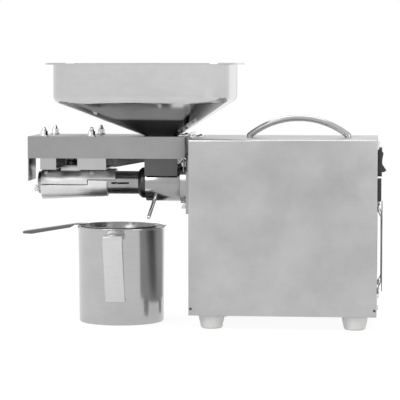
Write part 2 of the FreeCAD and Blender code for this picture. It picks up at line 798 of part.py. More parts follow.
def fan_rotor():
    """Hub and seven pitched blades that turn on the frame's pin."""
    depth = size("fan_depth - fan_spider - fan_spider_gap - fan_face_gap")
    hub_radius = size("fan_hub_radius")
    tip = size("fan_bore - fan_tip_gap")
    hub = Part.makeCylinder(hub_radius, depth)
    blades = []
    count = int(size("fan_blades"))
    for number in range(count):
        thickness = size("fan_blade_thickness")
        blade = Part.makeBox(tip + size("fan_blade_spare"), thickness, depth * 0.8)
        blade.translate(Vector(0, -thickness / 2, -depth * 0.4))
        blade.rotate(Vector(), Vector(1, 0, 0), size("fan_blade_pitch"))
        blade.translate(Vector(0, 0, depth / 2))
        blade.rotate(Vector(), Vector(0, 0, 1), number * 360.0 / count)
        blades.append(blade)
    limit = Part.makeCylinder(tip, depth)
    shape = hub.multiFuse([blade.common(limit) for blade in blades]).removeSplitter()
    bore_depth = size("fan_depth - fan_hub_cap - fan_spider - fan_spider_gap + fan_pin_gap")
    bore = Part.makeCylinder(size("fan_pin_radius + bearing_fit"), bore_depth + 1, Vector(0, 0, -1))
    return shaped("fan_rotor_solid", shape.cut(bore),
                  (INSIDE_END + " - fan_depth + fan_spider + fan_spider_gap", "0", FAN_Z), ALONG_X)


def fan_guard():
    """Wire guard: rings on four legs that end in screw eyes."""
    wire = size("guard_wire / 2")
    outer = size("guard_radius")
    count = int(size("guard_rings"))
    height = size("guard_proud") - 2 * wire - wire
    reach = size("fan_screw_spacing") / math.sqrt(2)
    shapes = []
    for number in range(count):
        radius = outer * (number + 1) / count
        shapes.append(Part.makeTorus(radius, wire, Vector(0, 0, height + 1.6 * wire)))
    eye = size("fan_screw_radius") + 0.3 + wire
    for number in range(4):
        leg_in = Part.makeCylinder(wire, outer + wire, Vector(0, 0, height), Vector(1, 0, 0))
        start = Vector(outer + wire, 0, height)
        end = Vector(reach - eye, 0, wire)
        slope = Part.makeCylinder(wire, (end - start).Length, start, end - start)
        knee = Part.makeSphere(wire, start)
        loop = Part.makeTorus(eye, wire, Vector(reach, 0, wire))
        for leg in (leg_in, knee, slope, loop):
            leg.rotate(Vector(), Vector(0, 0, 1), 45 + 90 * number)
            shapes.append(leg)
    shape = shapes[0].multiFuse(shapes[1:])
    return shaped("fan_guard_wire", shape, (HOUSING_END, "0", FAN_Z), ALONG_X)


def fan_screws():
    """Screws through the guard's eyes, the wall and the fan frame."""
    screws = []
    for number, (across, rise) in enumerate(square("fan_screw_spacing")):
        spot = FAN_Z + " + " + rise
        shank = rod("fan_shank_%d" % number, "fan_screw_radius",
                    "fan_depth + housing_sheet + guard_wire",
                    (INSIDE_END + " - fan_depth", across, spot), ALONG_X)
        head = rod("fan_head_%d" % number, "2 * fan_screw_radius", "fan_screw_head",
                   (HOUSING_END + " + guard_wire", across, spot), ALONG_X)
        screws.append(join("fan_screw_%d" % number, shank, head))
    return group("fan_screw_set", screws)


# ---- Gear train ----------------------------------------------------------

PRESSURE_ANGLE = math.radians(20)


def involute(angle):
    """The involute function of an angle."""
    return math.tan(angle) - angle


def gear_blank(teeth, module, addendum, face, half_pitch_turn):
    """A spur gear of true involute teeth, one flank in short straight steps."""
    pitch_radius = module * teeth / 2
    base = pitch_radius * math.cos(PRESSURE_ANGLE)
    tip = pitch_radius + addendum * module
    root = pitch_radius - size("root_depth") * module
    first = max(base, root)
    half_tooth = (math.pi / 2 - size("gear_backlash") / 2) / teeth
    steps = 4
    flank = []
    for step in range(steps + 1):
        radius = first + (tip - first) * step / steps
        half = half_tooth + involute(PRESSURE_ANGLE) - involute(math.acos(base / radius))
        flank.append((radius, half))
    if root < base:
        flank.insert(0, (root, flank[0][1]))
    turn = math.pi / teeth if half_pitch_turn else 0.0
    points = []
    for tooth in range(teeth):
        middle = 2 * math.pi * tooth / teeth + turn
        rising = [(radius, middle - half) for radius, half in flank]
        falling = [(radius, middle + half) for radius, half in reversed(flank)]
        for radius, angle in rising + falling:
            points.append(Vector(radius * math.cos(angle), radius * math.sin(angle), 0))
    points.append(points[0])
    return Part.Face(Part.makePolygon(points)).extrude(Vector(0, 0, face))


def motor_shaft():
    """Rotor core on its shaft, with the first pinion cut on the end."""
    core_radius = size("motor_radius - motor_wall - rotor_gap")
    core = Part.makeCylinder(core_radius, size("motor_length - 2 * rotor_end_gap"),
                             Vector(0, 0, size(MOTOR_START + " - " + FIRST_START
                                               + " + motor_bell + rotor_end_gap")))
    shaft = Part.makeCylinder(size("motor_shaft_radius"), size(MOTOR_END + " - " + FIRST_START))
    pinion = gear_blank(int(size("pinion_teeth")), size("first_module"), size("pinion_addendum"),
                        size("first_face"), False)
    return shaped("motor_shaft_solid", pinion.multiFuse([shaft, core]),
                  (FIRST_START, "0", MOTOR_Z), ALONG_X)


def middle_shaft():
    """Middle shaft with the second pinion cut on it."""
    shaft = Part.makeCylinder(size("middle_shaft_radius"),
                              size(COVER_END + " - " + INSIDE_START + " - shaft_end_gap"))
    pinion = gear_blank(int(size("pinion_teeth")), size("second_module"), size("pinion_addendum"),
                        size("second_face"), False)
    pinion.translate(Vector(0, 0, size("case_wall + gear_gap - shaft_end_gap")))
    return shaped("middle_shaft_solid", shaft.fuse(pinion),
                  (INSIDE_START + " + shaft_end_gap", "0", MIDDLE_Z), ALONG_X)


def bored_gear(name, teeth, module, face, bore, start):
    """A wheel pressed on its shaft, with lightening holes in the web."""
    blank = gear_blank(int(size(teeth)), size(module), size("wheel_addendum"), size(face), True)
    tools = [Part.makeCylinder(size(bore), size(face))]
    hole = size("web_hole_radius")
    ring = (size(bore) + size(teeth) * size(module) / 2) / 2
    for number in range(6):
        angle = math.radians(60 * number)
        spot = Vector(ring * math.cos(angle), ring * math.sin(angle), 0)
        tools.append(Part.makeCylinder(hole, size(face), spot))
    return shaped(name, blank.cut(tools), start, ALONG_X)


def output_shaft():
    """Shaft from the cover to the face of the mounting flange."""
    return rod("output_shaft_bar", "output_shaft_radius",
               COVER_END + " - " + SPACER_START + " - 2 * shaft_end_gap",
               (SPACER_START + " + shaft_end_gap", "0", PRESS_Z), ALONG_X)


def ring(name, outer, inner, width, start):
    """A plain ring about a shaft along X."""
    solid = rod(name + "_disc", outer, width, start, ALONG_X)
    hole = rod(name + "_bore", inner, width, start, ALONG_X)
    return cut(name, solid, hole)


def bearings():
    """Two bearings on each geared shaft and two on the motor's shaft."""
    output_bore = "output_shaft_radius + bearing_fit"
    middle_bore = "middle_shaft_radius + bearing_fit"
    motor_bore = "motor_shaft_radius + bearing_fit"
    return group("bearing_set", [
        ring("output_bearing_front", "output_bearing_radius", output_bore,
             "output_bearing_width", (SPACER_START + " + bearing_inset", "0", PRESS_Z)),
        ring("output_bearing_rear", "output_rear_bearing_radius", output_bore, "case_wall",
             (CASE_END, "0", PRESS_Z)),
        ring("middle_bearing_front", "middle_bearing_radius", middle_bore, "case_wall",
             (INSIDE_START, "0", MIDDLE_Z)),
        ring("middle_bearing_rear", "middle_bearing_radius", middle_bore, "case_wall",
             (CASE_END, "0", MIDDLE_Z)),
        ring("motor_bearing_front", "motor_bearing_radius", motor_bore, "motor_bell / 2",
             (MOTOR_START, "0", MOTOR_Z)),
        ring("motor_bearing_rear", "motor_bearing_radius", motor_bore, "motor_bell / 2",
             (MOTOR_END + " - motor_bell / 2", "0", MOTOR_Z)),
    ])


def gearbox_extent():
    """Lowest height and overall height of the gearbox, around the gears."""
    low = ("(" + MOTOR_Z + " - first_module * pinion_teeth / 2 - case_foot)")
    high = ("(" + PRESS_Z + " + second_module * output_teeth / 2 + second_module"
            " + case_gear_gap + case_wall)")
    return low, "(%s - %s)" % (high, low)


def gearbox_case():
    """Cast box open to the cover, bored for the shafts and flange bolts."""
    low, height = gearbox_extent()
    length = CASE_END + " - " + INSIDE_START
    block = box("case_block", (INSIDE_START, "-case_width / 2", low),
                (length, "case_width", height))
    hollow = box("case_hollow", (INSIDE_START + " + case_wall", "-case_width / 2 + case_wall",
                                 low + " + case_wall"),
                 (length, "case_width - 2 * case_wall", height + " - 2 * case_wall"))
    wall = INSIDE_START + " - case_wall"
    tools = [
        hollow,
        rod("case_output_hole", "output_bearing_radius", "3 * case_wall", (wall, "0", PRESS_Z),
            ALONG_X),
        rod("case_middle_hole", "middle_bearing_radius", "3 * case_wall", (wall, "0", MIDDLE_Z),
            ALONG_X),
    ]
    for number, (across, rise) in enumerate(square("flange_bolt_spacing")):
        tools.append(rod("case_bolt_hole_%d" % number, "flange_bolt_radius", "3 * case_wall",
                         (wall, across, PRESS_Z + " + " + rise), ALONG_X))
    return cut("case_hollowed", block, *tools)


def gearbox_cover():
    """Cover that carries the rear bearings and lets the motor pinion in."""
    low, height = gearbox_extent()
    sheet_part = box("cover_block", (CASE_END, "-case_width / 2", low),
                     ("case_wall", "case_width", height))
    start = CASE_END + " - case_wall"
    tools = [
        rod("cover_output_hole", "output_rear_bearing_radius", "3 * case_wall",
            (start, "0", PRESS_Z), ALONG_X),
        rod("cover_middle_hole", "middle_bearing_radius", "3 * case_wall",
            (start, "0", MIDDLE_Z), ALONG_X),
        rod("cover_motor_hole", "motor_bearing_radius", "3 * case_wall",
            (start, "0", MOTOR_Z), ALONG_X),
    ]
    return cut("cover_bored", sheet_part, *tools)


# ---- Motor and electrics -------------------------------------------------

def motor_body():
    """Stator can, open through the middle for the rotor."""
    return ring("stator_can", "motor_radius", "motor_radius - motor_wall", "motor_length",
                (MOTOR_START + " + motor_bell", "0", MOTOR_Z))


def motor_end_bells():
    """End caps of the motor, recessed for the bearings; the front one has a spigot."""
    bells = []
    starts = [(MOTOR_START, MOTOR_START), (MOTOR_END + " - motor_bell",
                                          MOTOR_END + " - motor_bell / 2")]
    for number, (start, pocket) in enumerate(starts):
        name = "bell_%d" % number
        disc = rod(name + "_disc", "motor_radius", "motor_bell", (start, "0", MOTOR_Z), ALONG_X)
        recess = rod(name + "_recess", "motor_bearing_radius", "motor_bell / 2",
                     (pocket, "0", MOTOR_Z), ALONG_X)
        hole = rod(name + "_hole", "motor_shaft_radius + 1", "motor_bell",
                   (start, "0", MOTOR_Z), ALONG_X)
        bells.append(cut(name, disc, recess, hole))
    return group("bell_set", bells)


def motor_bracket():
    """Foot plate with two saddles that carry the motor."""
    start = MOTOR_START + " + motor_bell"
    foot = box("bracket_foot", (start, "-bracket_width / 2", FLOOR_TOP),
               ("motor_length", "bracket_width", "bracket_thickness"))
    saddles = []
    for number, place_x in enumerate([start, start + " + motor_length - bracket_saddle"]):
        saddles.append(box("bracket_saddle_%d" % number,
                           (place_x, "-bracket_width / 2", FLOOR_TOP),
                           ("bracket_saddle", "bracket_width",
                            MOTOR_Z + " - motor_radius / 2 - " + FLOOR_TOP)))
    seat = rod("bracket_seat", "motor_radius", "motor_length", (start, "0", MOTOR_Z), ALONG_X)
    return cut("bracket_whole", join("bracket_solid", foot, *saddles), seat)


def motor_capacitor():
    """Run capacitor standing on the floor behind the motor."""
    return rod("capacitor_can", "capacitor_radius", "capacitor_length",
               (MOTOR_START + " + motor_bell + motor_length / 2",
                INSIDE_HALF + " - capacitor_radius - 2", FLOOR_TOP))


def control_board():
    """Heater and motor control board on four standoffs from the back panel."""
    back = INSIDE_HALF
    low = ("%s + board_place" % MOTOR_START, "%s - board_standoff - board_thickness" % back,
           FLOOR_TOP + " + board_rise")
    board = box("board_sheet", low, ("board_length", "board_thickness", "board_width"))
    parts = [board]
    for number, (along, up) in enumerate([("5", "5"), ("board_length - 5", "5"),
                                          ("5", "board_width - 5"),
                                          ("board_length - 5", "board_width - 5")]):
        parts.append(rod("board_post_%d" % number, "3", "board_standoff",
                         (low[0] + " + " + along, back + " - board_standoff",
                          low[2] + " + " + up), ALONG_Y))
    relay = box("board_relay", (low[0] + " + 12", low[1] + " - 15", low[2] + " + 12"),
                ("19", "15", "16"))
    heat_sink = box("board_heat_sink", (low[0] + " + 42", low[1] + " - 20", low[2] + " + 10"),
                    ("14", "20", "30"))
    return join("board_whole", relay, heat_sink, *parts)


# ---- Mounting flange and press barrel ------------------------------------

def mounting_flange():
    """Square flange with a round spacer in front, bored for a bearing."""
    plate_x = "(housing_start - flange_thickness)"
    block = box("flange_plate", (plate_x, "-flange_size / 2", PRESS_Z + " - flange_size / 2"),
                ("flange_thickness", "flange_size", "flange_size"))
    spacer = rod("flange_spacer", "spacer_radius", "spacer_length", (SPACER_START, "0", PRESS_Z),
                 ALONG_X)
    tools = [
        rod("flange_bore", "output_bearing_radius", "spacer_length + flange_thickness",
            (SPACER_START + " + bearing_inset", "0", PRESS_Z), ALONG_X),
        rod("flange_shaft_hole", "output_shaft_radius + 1", "2 * bearing_inset",
            (SPACER_START + " - bearing_inset / 2", "0", PRESS_Z), ALONG_X),
    ]
    for number, (across, rise) in enumerate(square("flange_bolt_spacing")):
        tools.append(rod("flange_bolt_hole_%d" % number, "flange_bolt_radius",
                         "2 * flange_thickness",
                         (plate_x + " - flange_thickness / 2", across, PRESS_Z + " + " + rise),
                         ALONG_X))
    return cut("flange_drilled", join("flange_solid", block, spacer), *tools)


def flange_bolts():
    """Bolts from the flange into the gearbox, with thin nuts inside it."""
    bolts = []
    plate_x = "(housing_start - flange_thickness)"
    inner = "(%s + case_wall)" % INSIDE_START
    for number, (across, rise) in enumerate(square("flange_bolt_spacing")):
        spot = PRESS_Z + " + " + rise
        head = rod("flange_head_%d" % number, "flange_bolt_radius * 5 / 3", "flange_bolt_head",
                   (plate_x + " - flange_bolt_head", across, spot), ALONG_X)
        shank = rod("flange_shank_%d" % number, "flange_bolt_radius",
                    inner + " + flange_nut - " + plate_x, (plate_x, across, spot), ALONG_X)
        nut = hexagon("flange_nut_%d" % number, "flange_bolt_radius * 10 / 3", "flange_nut",
                      (inner, across, spot), ALONG_X)
        bolts.append(join("flange_bolt_%d" % number, head, shank, nut))
    return group("flange_bolt_set", bolts)


def feed_port(name):
    """The opening under the feed throat, from the barrel's bore upwards."""
    return box(name, (THROAT_X + " - feed_port_length / 2", "-feed_port_width / 2", PRESS_Z),
               ("feed_port_length", "feed_port_width", "2 * collar_radius"))


def locking_bar_axis():
    """Direction of the locking bar, out of the collar and down to the user."""
    down = math.radians(size("locking_bar_turn"))
    lean = math.radians(size("locking_bar_lean"))
    return Vector(-math.sin(lean), -math.cos(down) * math.cos(lean),
                  -math.sin(down) * math.cos(lean))


def locking_bar_start(depth):
    """A point on the bar's axis, at a depth below the collar's surface."""
    along = COLLAR_START + " + locking_bar_place + (%s) * sin(locking_bar_lean)" % depth
    out = "(collar_radius - (%s) * cos(locking_bar_lean))" % depth
    return (along, "-%s * cos(locking_bar_turn)" % out,
            PRESS_Z + " - %s * sin(locking_bar_turn)" % out)


def barrel_holder():
    """Collar that holds the barrel, with the feed port and the bar's hole."""
    disc = rod("collar_disc", "collar_radius", "collar_length", (COLLAR_START, "0", PRESS_Z),
               ALONG_X)
    turn = Rotation(Vector(0, 0, 1), locking_bar_axis())
    tools = [
        rod("collar_seat", "cage_radius", "cage_seat", (COLLAR_START, "0", PRESS_Z), ALONG_X),
        rod("collar_bore", "cage_bore", "collar_length", (COLLAR_START, "0", PRESS_Z), ALONG_X),
        feed_port("collar_feed_port"),
        rod("bar_hole", "locking_bar_radius + locking_bar_fit", "2 * locking_bar_seat",
            locking_bar_start("locking_bar_seat"), turn),
    ]
    return cut("collar_bored", disc, *tools)


def locking_bar():
    """Round bar with a rounded end that turns to lock the barrel."""
    turn = Rotation(Vector(0, 0, 1), locking_bar_axis())
    bar = rod("locking_rod", "locking_bar_radius", "locking_bar_length",
              locking_bar_start("locking_bar_seat"), turn)
    tip = doc.addObject("Part::Sphere", "locking_tip")
    bind(tip, Radius="locking_bar_radius")
    place(tip, *locking_bar_start("locking_bar_seat - locking_bar_length"))
    return join("locking_bar_solid", bar, tip)


def press_cage():
    """Barrel with a ring of oil slots and the feed port."""
    tube = ring("cage_tube", "cage_radius", "cage_bore", "cage_length",
                (CAGE_START, "0", PRESS_Z))
    tools = [feed_port("cage_feed_port")]
    count = int(size("cage_slots"))
    for number in range(count // 2):
        angle = 360.0 * number / count
        across = "(cage_slot_width / 2 * cos(%g) - cage_radius * sin(%g))" % (angle, angle)
        rise = "(cage_slot_width / 2 * sin(%g) + cage_radius * cos(%g))" % (angle, angle)
        slot = doc.addObject("Part::Box", "cage_slot_%d" % number)
        bind(slot, Length="cage_slot_length", Width="cage_slot_width", Height="2 * cage_radius")
        place(slot, CONE_START + " - cage_slot_gap - cage_slot_length", "-" + across,
              PRESS_Z + " - " + rise, Rotation(Vector(1, 0, 0), angle))
        tools.append(slot)
    return cut("cage_slotted", tube, *tools)


def cage_cone():
    """Conical shoulder ring where the barrel enters the collar."""
    profile = [
        ("cage_radius", "0"),
        ("cone_radius - 3.5", "0"),
        ("cone_radius - 0.5", "cone_length * 0.35"),
        ("cone_radius", "cone_length * 0.5"),
        ("cone_radius", "cone_length"),
        ("cage_radius", "cone_length"),
    ]
    return turned("shoulder_ring", profile, (CONE_START, "0", PRESS_Z), ALONG_X)


def press_screw():
    """Screw with a helical flight inside the barrel."""
    length = size(SPACER_START + " - " + CAGE_START + " - 2 * screw_end_gap")
    root = size("screw_root_radius")
    flight = size("screw_flight")
    width = size("screw_flight_width")
    core = Part.makeCylinder(root, length)
    helix = Part.makeHelix(size("screw_pitch"), length - 2 * width, root)
    sunk = root - 1.0
    corners = [Vector(sunk, 0, 0), Vector(root + flight, 0, 0),
               Vector(root + flight, 0, width), Vector(sunk, 0, width)]
    section = Part.makePolygon(corners + corners[:1])
    thread = Part.Wire(helix.Edges).makePipeShell([section], True, True)
    thread.translate(Vector(0, 0, width / 2))
    return shaped("press_screw_solid", core.fuse(thread),
                  (CAGE_START + " + screw_end_gap", "0", PRESS_Z), ALONG_X)


def press_head():
    """End of the barrel with the cake nozzle."""
    disc = rod("head_disc", "head_radius", "head_length", (HEAD_START, "0", PRESS_Z), ALONG_X)
    nozzle = rod("head_nozzle", "nozzle_radius", "head_length", (HEAD_START, "0", PRESS_Z),
                 ALONG_X)
    thread = rod("head_bolt_hole", "nozzle_bolt_flats / 4", "head_length / 2",
                 (HEAD_START, "0", PRESS_Z + " - nozzle_bolt_drop"), ALONG_X)
    return cut("head_bored", disc, nozzle, thread)


def nozzle_bolt():
    """Hexagon bolt in the face of the press head."""
    spot = PRESS_Z + " - nozzle_bolt_drop"
    head = hexagon("nozzle_bolt_hexagon", "nozzle_bolt_flats", "nozzle_bolt_head",
                   (HEAD_START + " - nozzle_bolt_head", "0", spot), ALONG_X)
    shank = rod("nozzle_bolt_shank", "nozzle_bolt_flats / 4", "head_length / 2",
                (HEAD_START, "0", spot), ALONG_X)
    return join("nozzle_bolt_solid", head, shank)


# ---- Heater jacket -------------------------------------------------------

def heater_upper():
    """Upper half of the jacket with its hump; it lifts with the hood."""
    tube = ring("upper_tube", JACKET_BORE + " + jacket_wall", JACKET_BORE,
                "upper_jacket_length", (JACKET_START, "0", PRESS_Z))
    reach = "(cage_radius + 2 * jacket_wall)"
    below = box("upper_below", (JACKET_START + " - 1", "-" + reach,
                                PRESS_Z + " - " + reach + " - jacket_overlap"),
                ("upper_jacket_length + 2", "2 * " + reach, reach))
    step = box("upper_step", (JACKET_START + " + upper_jacket_step", "-" + reach,
                              PRESS_Z + " - " + reach),
               ("upper_jacket_length", "2 * " + reach, reach + " + upper_step_rise - 1.3"))
    half = cut("upper_half", tube, below, step)
    start = JACKET_START + " + hump_place"
    outline = [
        (start, PRESS_Z + " + " + JACKET_BORE + " + 0.5"),
        (start + " + hump_length", PRESS_Z + " + " + JACKET_BORE + " + 0.5"),
        (start + " + hump_length - 2", JACKET_TOP + " + hump_rise - 1"),
        (start + " + hump_length - 4", JACKET_TOP + " + hump_rise"),
        (start + " + 4", JACKET_TOP + " + hump_rise"),
        (start + " + 2", JACKET_TOP + " + hump_rise - 1"),
    ]
    hump = plate("jacket_hump", outline, "hump_width", ("0", "hump_width / 2", "0"), FACING_USER)
    return join("upper_jacket", half, hump)


def heater_lower():
    """Lower half of the jacket, thicker at its outer end."""
    outer = doc.addObject("Part::Cone", "lower_cone")
    bind(outer, Radius1="lower_jacket_left", Radius2="lower_jacket_right",
         Height="lower_jacket_length")
    place(outer, JACKET_START, "0", PRESS_Z, ALONG_X)
    bore = rod("lower_bore", JACKET_BORE, "lower_jacket_length", (JACKET_START, "0", PRESS_Z),
               ALONG_X)
    reach = "(2 * lower_jacket_left)"
    above = box("lower_above", (JACKET_START + " - 1", "-" + reach,
                                PRESS_Z + " - jacket_overlap - jacket_split"),
                ("upper_jacket_step + 1 + jacket_split", "2 * " + reach, reach))
    beside = box("lower_beside", (JACKET_START + " + upper_jacket_step", "-" + reach,
                                  PRESS_Z + " + upper_step_rise - 1.3 - jacket_split"),
                 ("lower_jacket_length", "2 * " + reach, reach))
    return cut("lower_half", outer, bore, above, beside)


def jacket_screws():
    """Screw heads on the front of the upper jacket."""
    screws = []
    tilt = Rotation(Vector(1, 0, 0), size("jacket_screw_tilt"))
    out = "(%s + jacket_wall)" % JACKET_BORE
    for number, along in enumerate(["jacket_screw_first", "jacket_screw_second"]):
        screws.append(rod("jacket_screw_%d" % number, "jacket_screw_radius", "jacket_screw_head",
                          (JACKET_START + " + " + along, "-%s * sin(jacket_screw_tilt)" % out,
                           PRESS_Z + " + %s * cos(jacket_screw_tilt)" % out), tilt))
    return group("jacket_screw_set", screws)


def thermostat():
    """Disc thermostat with two terminals on the hump."""
    middle = JACKET_START + " + hump_place + hump_length / 2"
    base = JACKET_TOP + " + hump_rise"
    disc = rod("thermostat_disc", "thermostat_radius", "thermostat_height", (middle, "0", base))
    blades = []
    for number, side in enumerate(mirrored_pair("thermostat_radius")):
        blades.append(box("thermostat_blade_%d" % number,
                          (middle + " - 0.4 + " + side, "-3", base + " + thermostat_height"),
                          ("0.8", "6", "7")))
    return join("thermostat_solid", disc, *blades)


# ---- Hood ----------------------------------------------------------------

def hood_cover():
    """Folded channel with a deeper rear skirt, drilled for studs and feed."""
    half = "(hood_width / 2)"
    inner = "(hood_width / 2 - hood_sheet)"
    outline = [
        ("-" + half, HOOD_TOP + " - hood_drop"),
        ("-" + half, HOOD_TOP),
        (half, HOOD_TOP),
        (half, HOOD_TOP + " - hood_drop"),
        (inner, HOOD_TOP + " - hood_drop"),
        (inner, HOOD_UNDER),
        ("-" + inner, HOOD_UNDER),
        ("-" + inner, HOOD_TOP + " - hood_drop"),
    ]
    channel = plate("hood_channel", outline, HOOD_LENGTH, (HOOD_START, "0", "0"), FACING_X)
    skirt_outline = [
        (HOOD_START, HOOD_TOP + " - hood_drop"),
        (HOOD_START, HOOD_TOP + " - hood_skirt_drop"),
        (HOOD_START + " + hood_skirt_flat", HOOD_TOP + " - hood_skirt_drop"),
        (HOOD_END + " - hood_skirt_rise", HOOD_TOP + " - hood_drop"),
    ]
    skirt = plate("hood_skirt", skirt_outline, "hood_sheet", ("0", half, "0"), FACING_USER)
    tools = [box("hood_feed_hole",
                 (THROAT_X + " - throat_length / 2 + throat_sheet", "-throat_inner_width / 2",
                  HOOD_UNDER + " - hood_sheet"),
                 ("throat_length - 2 * throat_sheet", "throat_inner_width", "3 * hood_sheet"))]
    for number, (along, across) in enumerate(stud_places()):
        tools.append(rod("hood_stud_hole_%d" % number, "stud_radius", "3 * hood_sheet",
                         (along, across, HOOD_UNDER + " - hood_sheet")))
    return cut("hood_cut", join("hood_folded", channel, skirt), *tools)


def stud_places():
    """Middles of the four studs that carry the hangers."""
    columns = [HOOD_START + " + stud_first", HOOD_START + " + stud_second"]
    return [(column, side) for column in columns for side in mirrored_pair("stud_spacing")]


def hood_left_plate():
    """Outer end of the hood, longer on the user's side."""
    inner = "(hood_width / 2 - hood_sheet)"
    low = HOOD_TOP + " - hood_drop"
    outline = [
        ("-" + inner, HOOD_TOP + " - hood_left_drop"),
        ("-hood_width / 2 + hood_left_depth", HOOD_TOP + " - hood_left_drop"),
        ("-hood_width / 2 + hood_left_depth", low),
        (inner, low),
        (inner, HOOD_UNDER),
        ("-" + inner, HOOD_UNDER),
    ]
    return plate("hood_left_sheet", outline, "hood_sheet", (HOOD_START, "0", "0"), FACING_X)


def hood_right_plate():
    """Inner end of the hood, notched around the flange's spacer."""
    inner = "(hood_width / 2 - hood_sheet)"
    low = HOOD_TOP + " - hood_right_drop"
    high = PRESS_Z + " + spacer_radius + notch_top_gap"
    notch = "(spacer_radius + notch_side_gap)"
    outline = [
        ("-" + inner, low), ("-" + notch, low), ("-" + notch, high),
        (notch, high), (notch, low), (inner, low),
        (inner, HOOD_UNDER), ("-" + inner, HOOD_UNDER),
    ]
    return plate("hood_right_sheet", outline, "hood_sheet",
                 (HOOD_END + " - 2 * hood_sheet", "0", "0"), FACING_X)


def cap_nuts():
    """Domed nuts with washers on the hood's studs."""
    nuts = []
    for number, (along, across) in enumerate(stud_places()):
        washer_top = HOOD_TOP + " + washer_thickness"
        washer = rod("cap_washer_%d" % number, "cap_nut_washer", "washer_thickness",
                     (along, across, HOOD_TOP))
        nut = hexagon("cap_hexagon_%d" % number, "cap_nut_flats", "cap_nut_height / 2",
                      (along, across, washer_top))
        dome = doc.addObject("Part::Cone", "cap_dome_%d" % number)
        bind(dome, Radius1="cap_nut_flats * 0.47", Radius2="cap_nut_flats * 0.3",
             Height="cap_nut_height * 0.3")
        place(dome, along, across, washer_top + " + cap_nut_height / 2")
        tip = doc.addObject("Part::Sphere", "cap_tip_%d" % number)
        bind(tip, Radius="cap_nut_flats * 0.3")
        place(tip, along, across, washer_top + " + cap_nut_height * 0.8")
        thread = rod("cap_thread_%d" % number, "stud_radius",
                     "washer_thickness + cap_nut_height / 2", (along, across, HOOD_TOP))
        nuts.append(cut("cap_nut_%d" % number,
                        join("cap_solid_%d" % number, washer, nut, dome, tip), thread))
    return group("cap_nut_set", nuts)


def hanger_studs():
    """Bolts from under the hanger lips up into the cap nuts."""
    bolts = []
    lip = HOOD_UNDER + " - hanger_sheet"
    for number, (along, across) in enumerate(stud_places()):
        head = hexagon("stud_head_%d" % number, "cap_nut_flats", "stud_nut",
                       (along, across, lip + " - stud_nut"))
        shank = rod("stud_shank_%d" % number, "stud_radius",
                    "hanger_sheet + hood_sheet + washer_thickness + cap_nut_height / 2",
                    (along, across, lip))
        bolts.append(join("stud_bolt_%d" % number, head, shank))
    return group("stud_set", bolts)


def hangers():
    """Two U-shaped straps that hang the upper jacket from the hood."""
    outer = "(stud_spacing / 2 - stud_leg_gap)"
    inner = "(stud_spacing / 2 - stud_leg_gap - hanger_sheet)"
    lip = "(stud_spacing / 2 + hanger_lip_edge)"
    under = HOOD_UNDER + " - hanger_sheet"
    outline = [
        ("-" + lip, HOOD_UNDER), ("-" + inner, HOOD_UNDER),
        ("-" + inner, JACKET_TOP + " + hanger_sheet"), (inner, JACKET_TOP + " + hanger_sheet"),
        (inner, HOOD_UNDER), (lip, HOOD_UNDER), (lip, under), (outer, under),
        (outer, JACKET_TOP), ("-" + outer, JACKET_TOP), ("-" + outer, under), ("-" + lip, under),
    ]
    straps = []
    for number, (start, width) in enumerate([("hanger_first_place", "hanger_first_width"),
                                             ("hanger_second_place", "hanger_second_width")]):
        strap = plate("hanger_%d" % number, outline, width,
                      (HOOD_START + " + " + start, "0", "0"), FACING_X)
        holes = []
        for rank, (along, across) in enumerate(stud_places()[2 * number:2 * number + 2]):
            holes.append(rod("hanger_hole_%d%d" % (number, rank), "stud_radius",
                             "3 * hanger_sheet",
                             (along, across, HOOD_UNDER + " - 2 * hanger_sheet")))
        straps.append(cut("hanger_drilled_%d" % number, strap, *holes))
    return group("hanger_set", straps)


# ---- Hinge ---------------------------------------------------------------

def hinge_barrel(name, start, length):
    """One knuckle of the hinge."""
    return rod(name, "hinge_radius", length, (HINGE_X, start, HINGE_Z), ALONG_Y)


def hinge_bore(name):
    """Clearance for the pin through all the knuckles."""
    return rod(name, "hinge_pin_radius + hinge_fit", "hinge_length + 2",
               (HINGE_X, "-hinge_length / 2 - 1", HINGE_Z), ALONG_Y)


def hinge_screw(name, along, across, base):
    """One pan-head screw on a leaf."""
    head = doc.addObject("Part::Cone", name)
    bind(head, Radius1="hinge_screw_radius", Radius2="hinge_screw_radius * 0.6",
         Height="hinge_screw_head")
    return place(head, along, across, base + " + hinge_sheet")


def hinge_housing_leaf():
    """Leaf on the housing with the two outer knuckles."""
    shoulder = HINGE_X + " + hinge_radius + hinge_gap"
    outer = "(hinge_length / 2 - hinge_knuckle / 2 - hinge_gap)"
    leaf = box("housing_leaf", (shoulder, "-hinge_length / 2", HOUSING_TOP),
               (HINGE_X + " + hinge_reach - (" + shoulder + ")", "hinge_length", "hinge_sheet"))
    parts = [leaf]
    for number, start in enumerate(["-hinge_length / 2", "(hinge_knuckle / 2 + hinge_gap)"]):
        parts.append(hinge_barrel("housing_knuckle_%d" % number, start, outer))
        parts.append(box("housing_tongue_%d" % number, (HINGE_X, start, HOUSING_TOP),
                         ("hinge_tongue", outer, "hinge_sheet + hinge_tongue_rise")))
    return cut("housing_leaf_bored", join("housing_leaf_solid", *parts),
               hinge_bore("housing_leaf_bore"))


def hinge_hood_leaf():
    """Leaf on the hood with the middle knuckle."""
    end = HINGE_X + " - hinge_radius - hinge_gap"
    start = HINGE_X + " - hinge_hood_reach"
    leaf = box("hood_leaf", (start, "-hinge_length / 2", HOOD_TOP),
               (end + " - (" + start + ")", "hinge_length", "hinge_sheet"))
    tongue = box("hood_tongue", (HINGE_X + " - hinge_hood_reach / 2", "-hinge_knuckle / 2",
                                 HOOD_TOP),
                 ("hinge_hood_reach / 2", "hinge_knuckle", "hinge_sheet"))
    knuckle = hinge_barrel("hood_knuckle", "-hinge_knuckle / 2", "hinge_knuckle")
    return cut("hood_leaf_bored", join("hood_leaf_solid", leaf, tongue, knuckle),
               hinge_bore("hood_leaf_bore"))


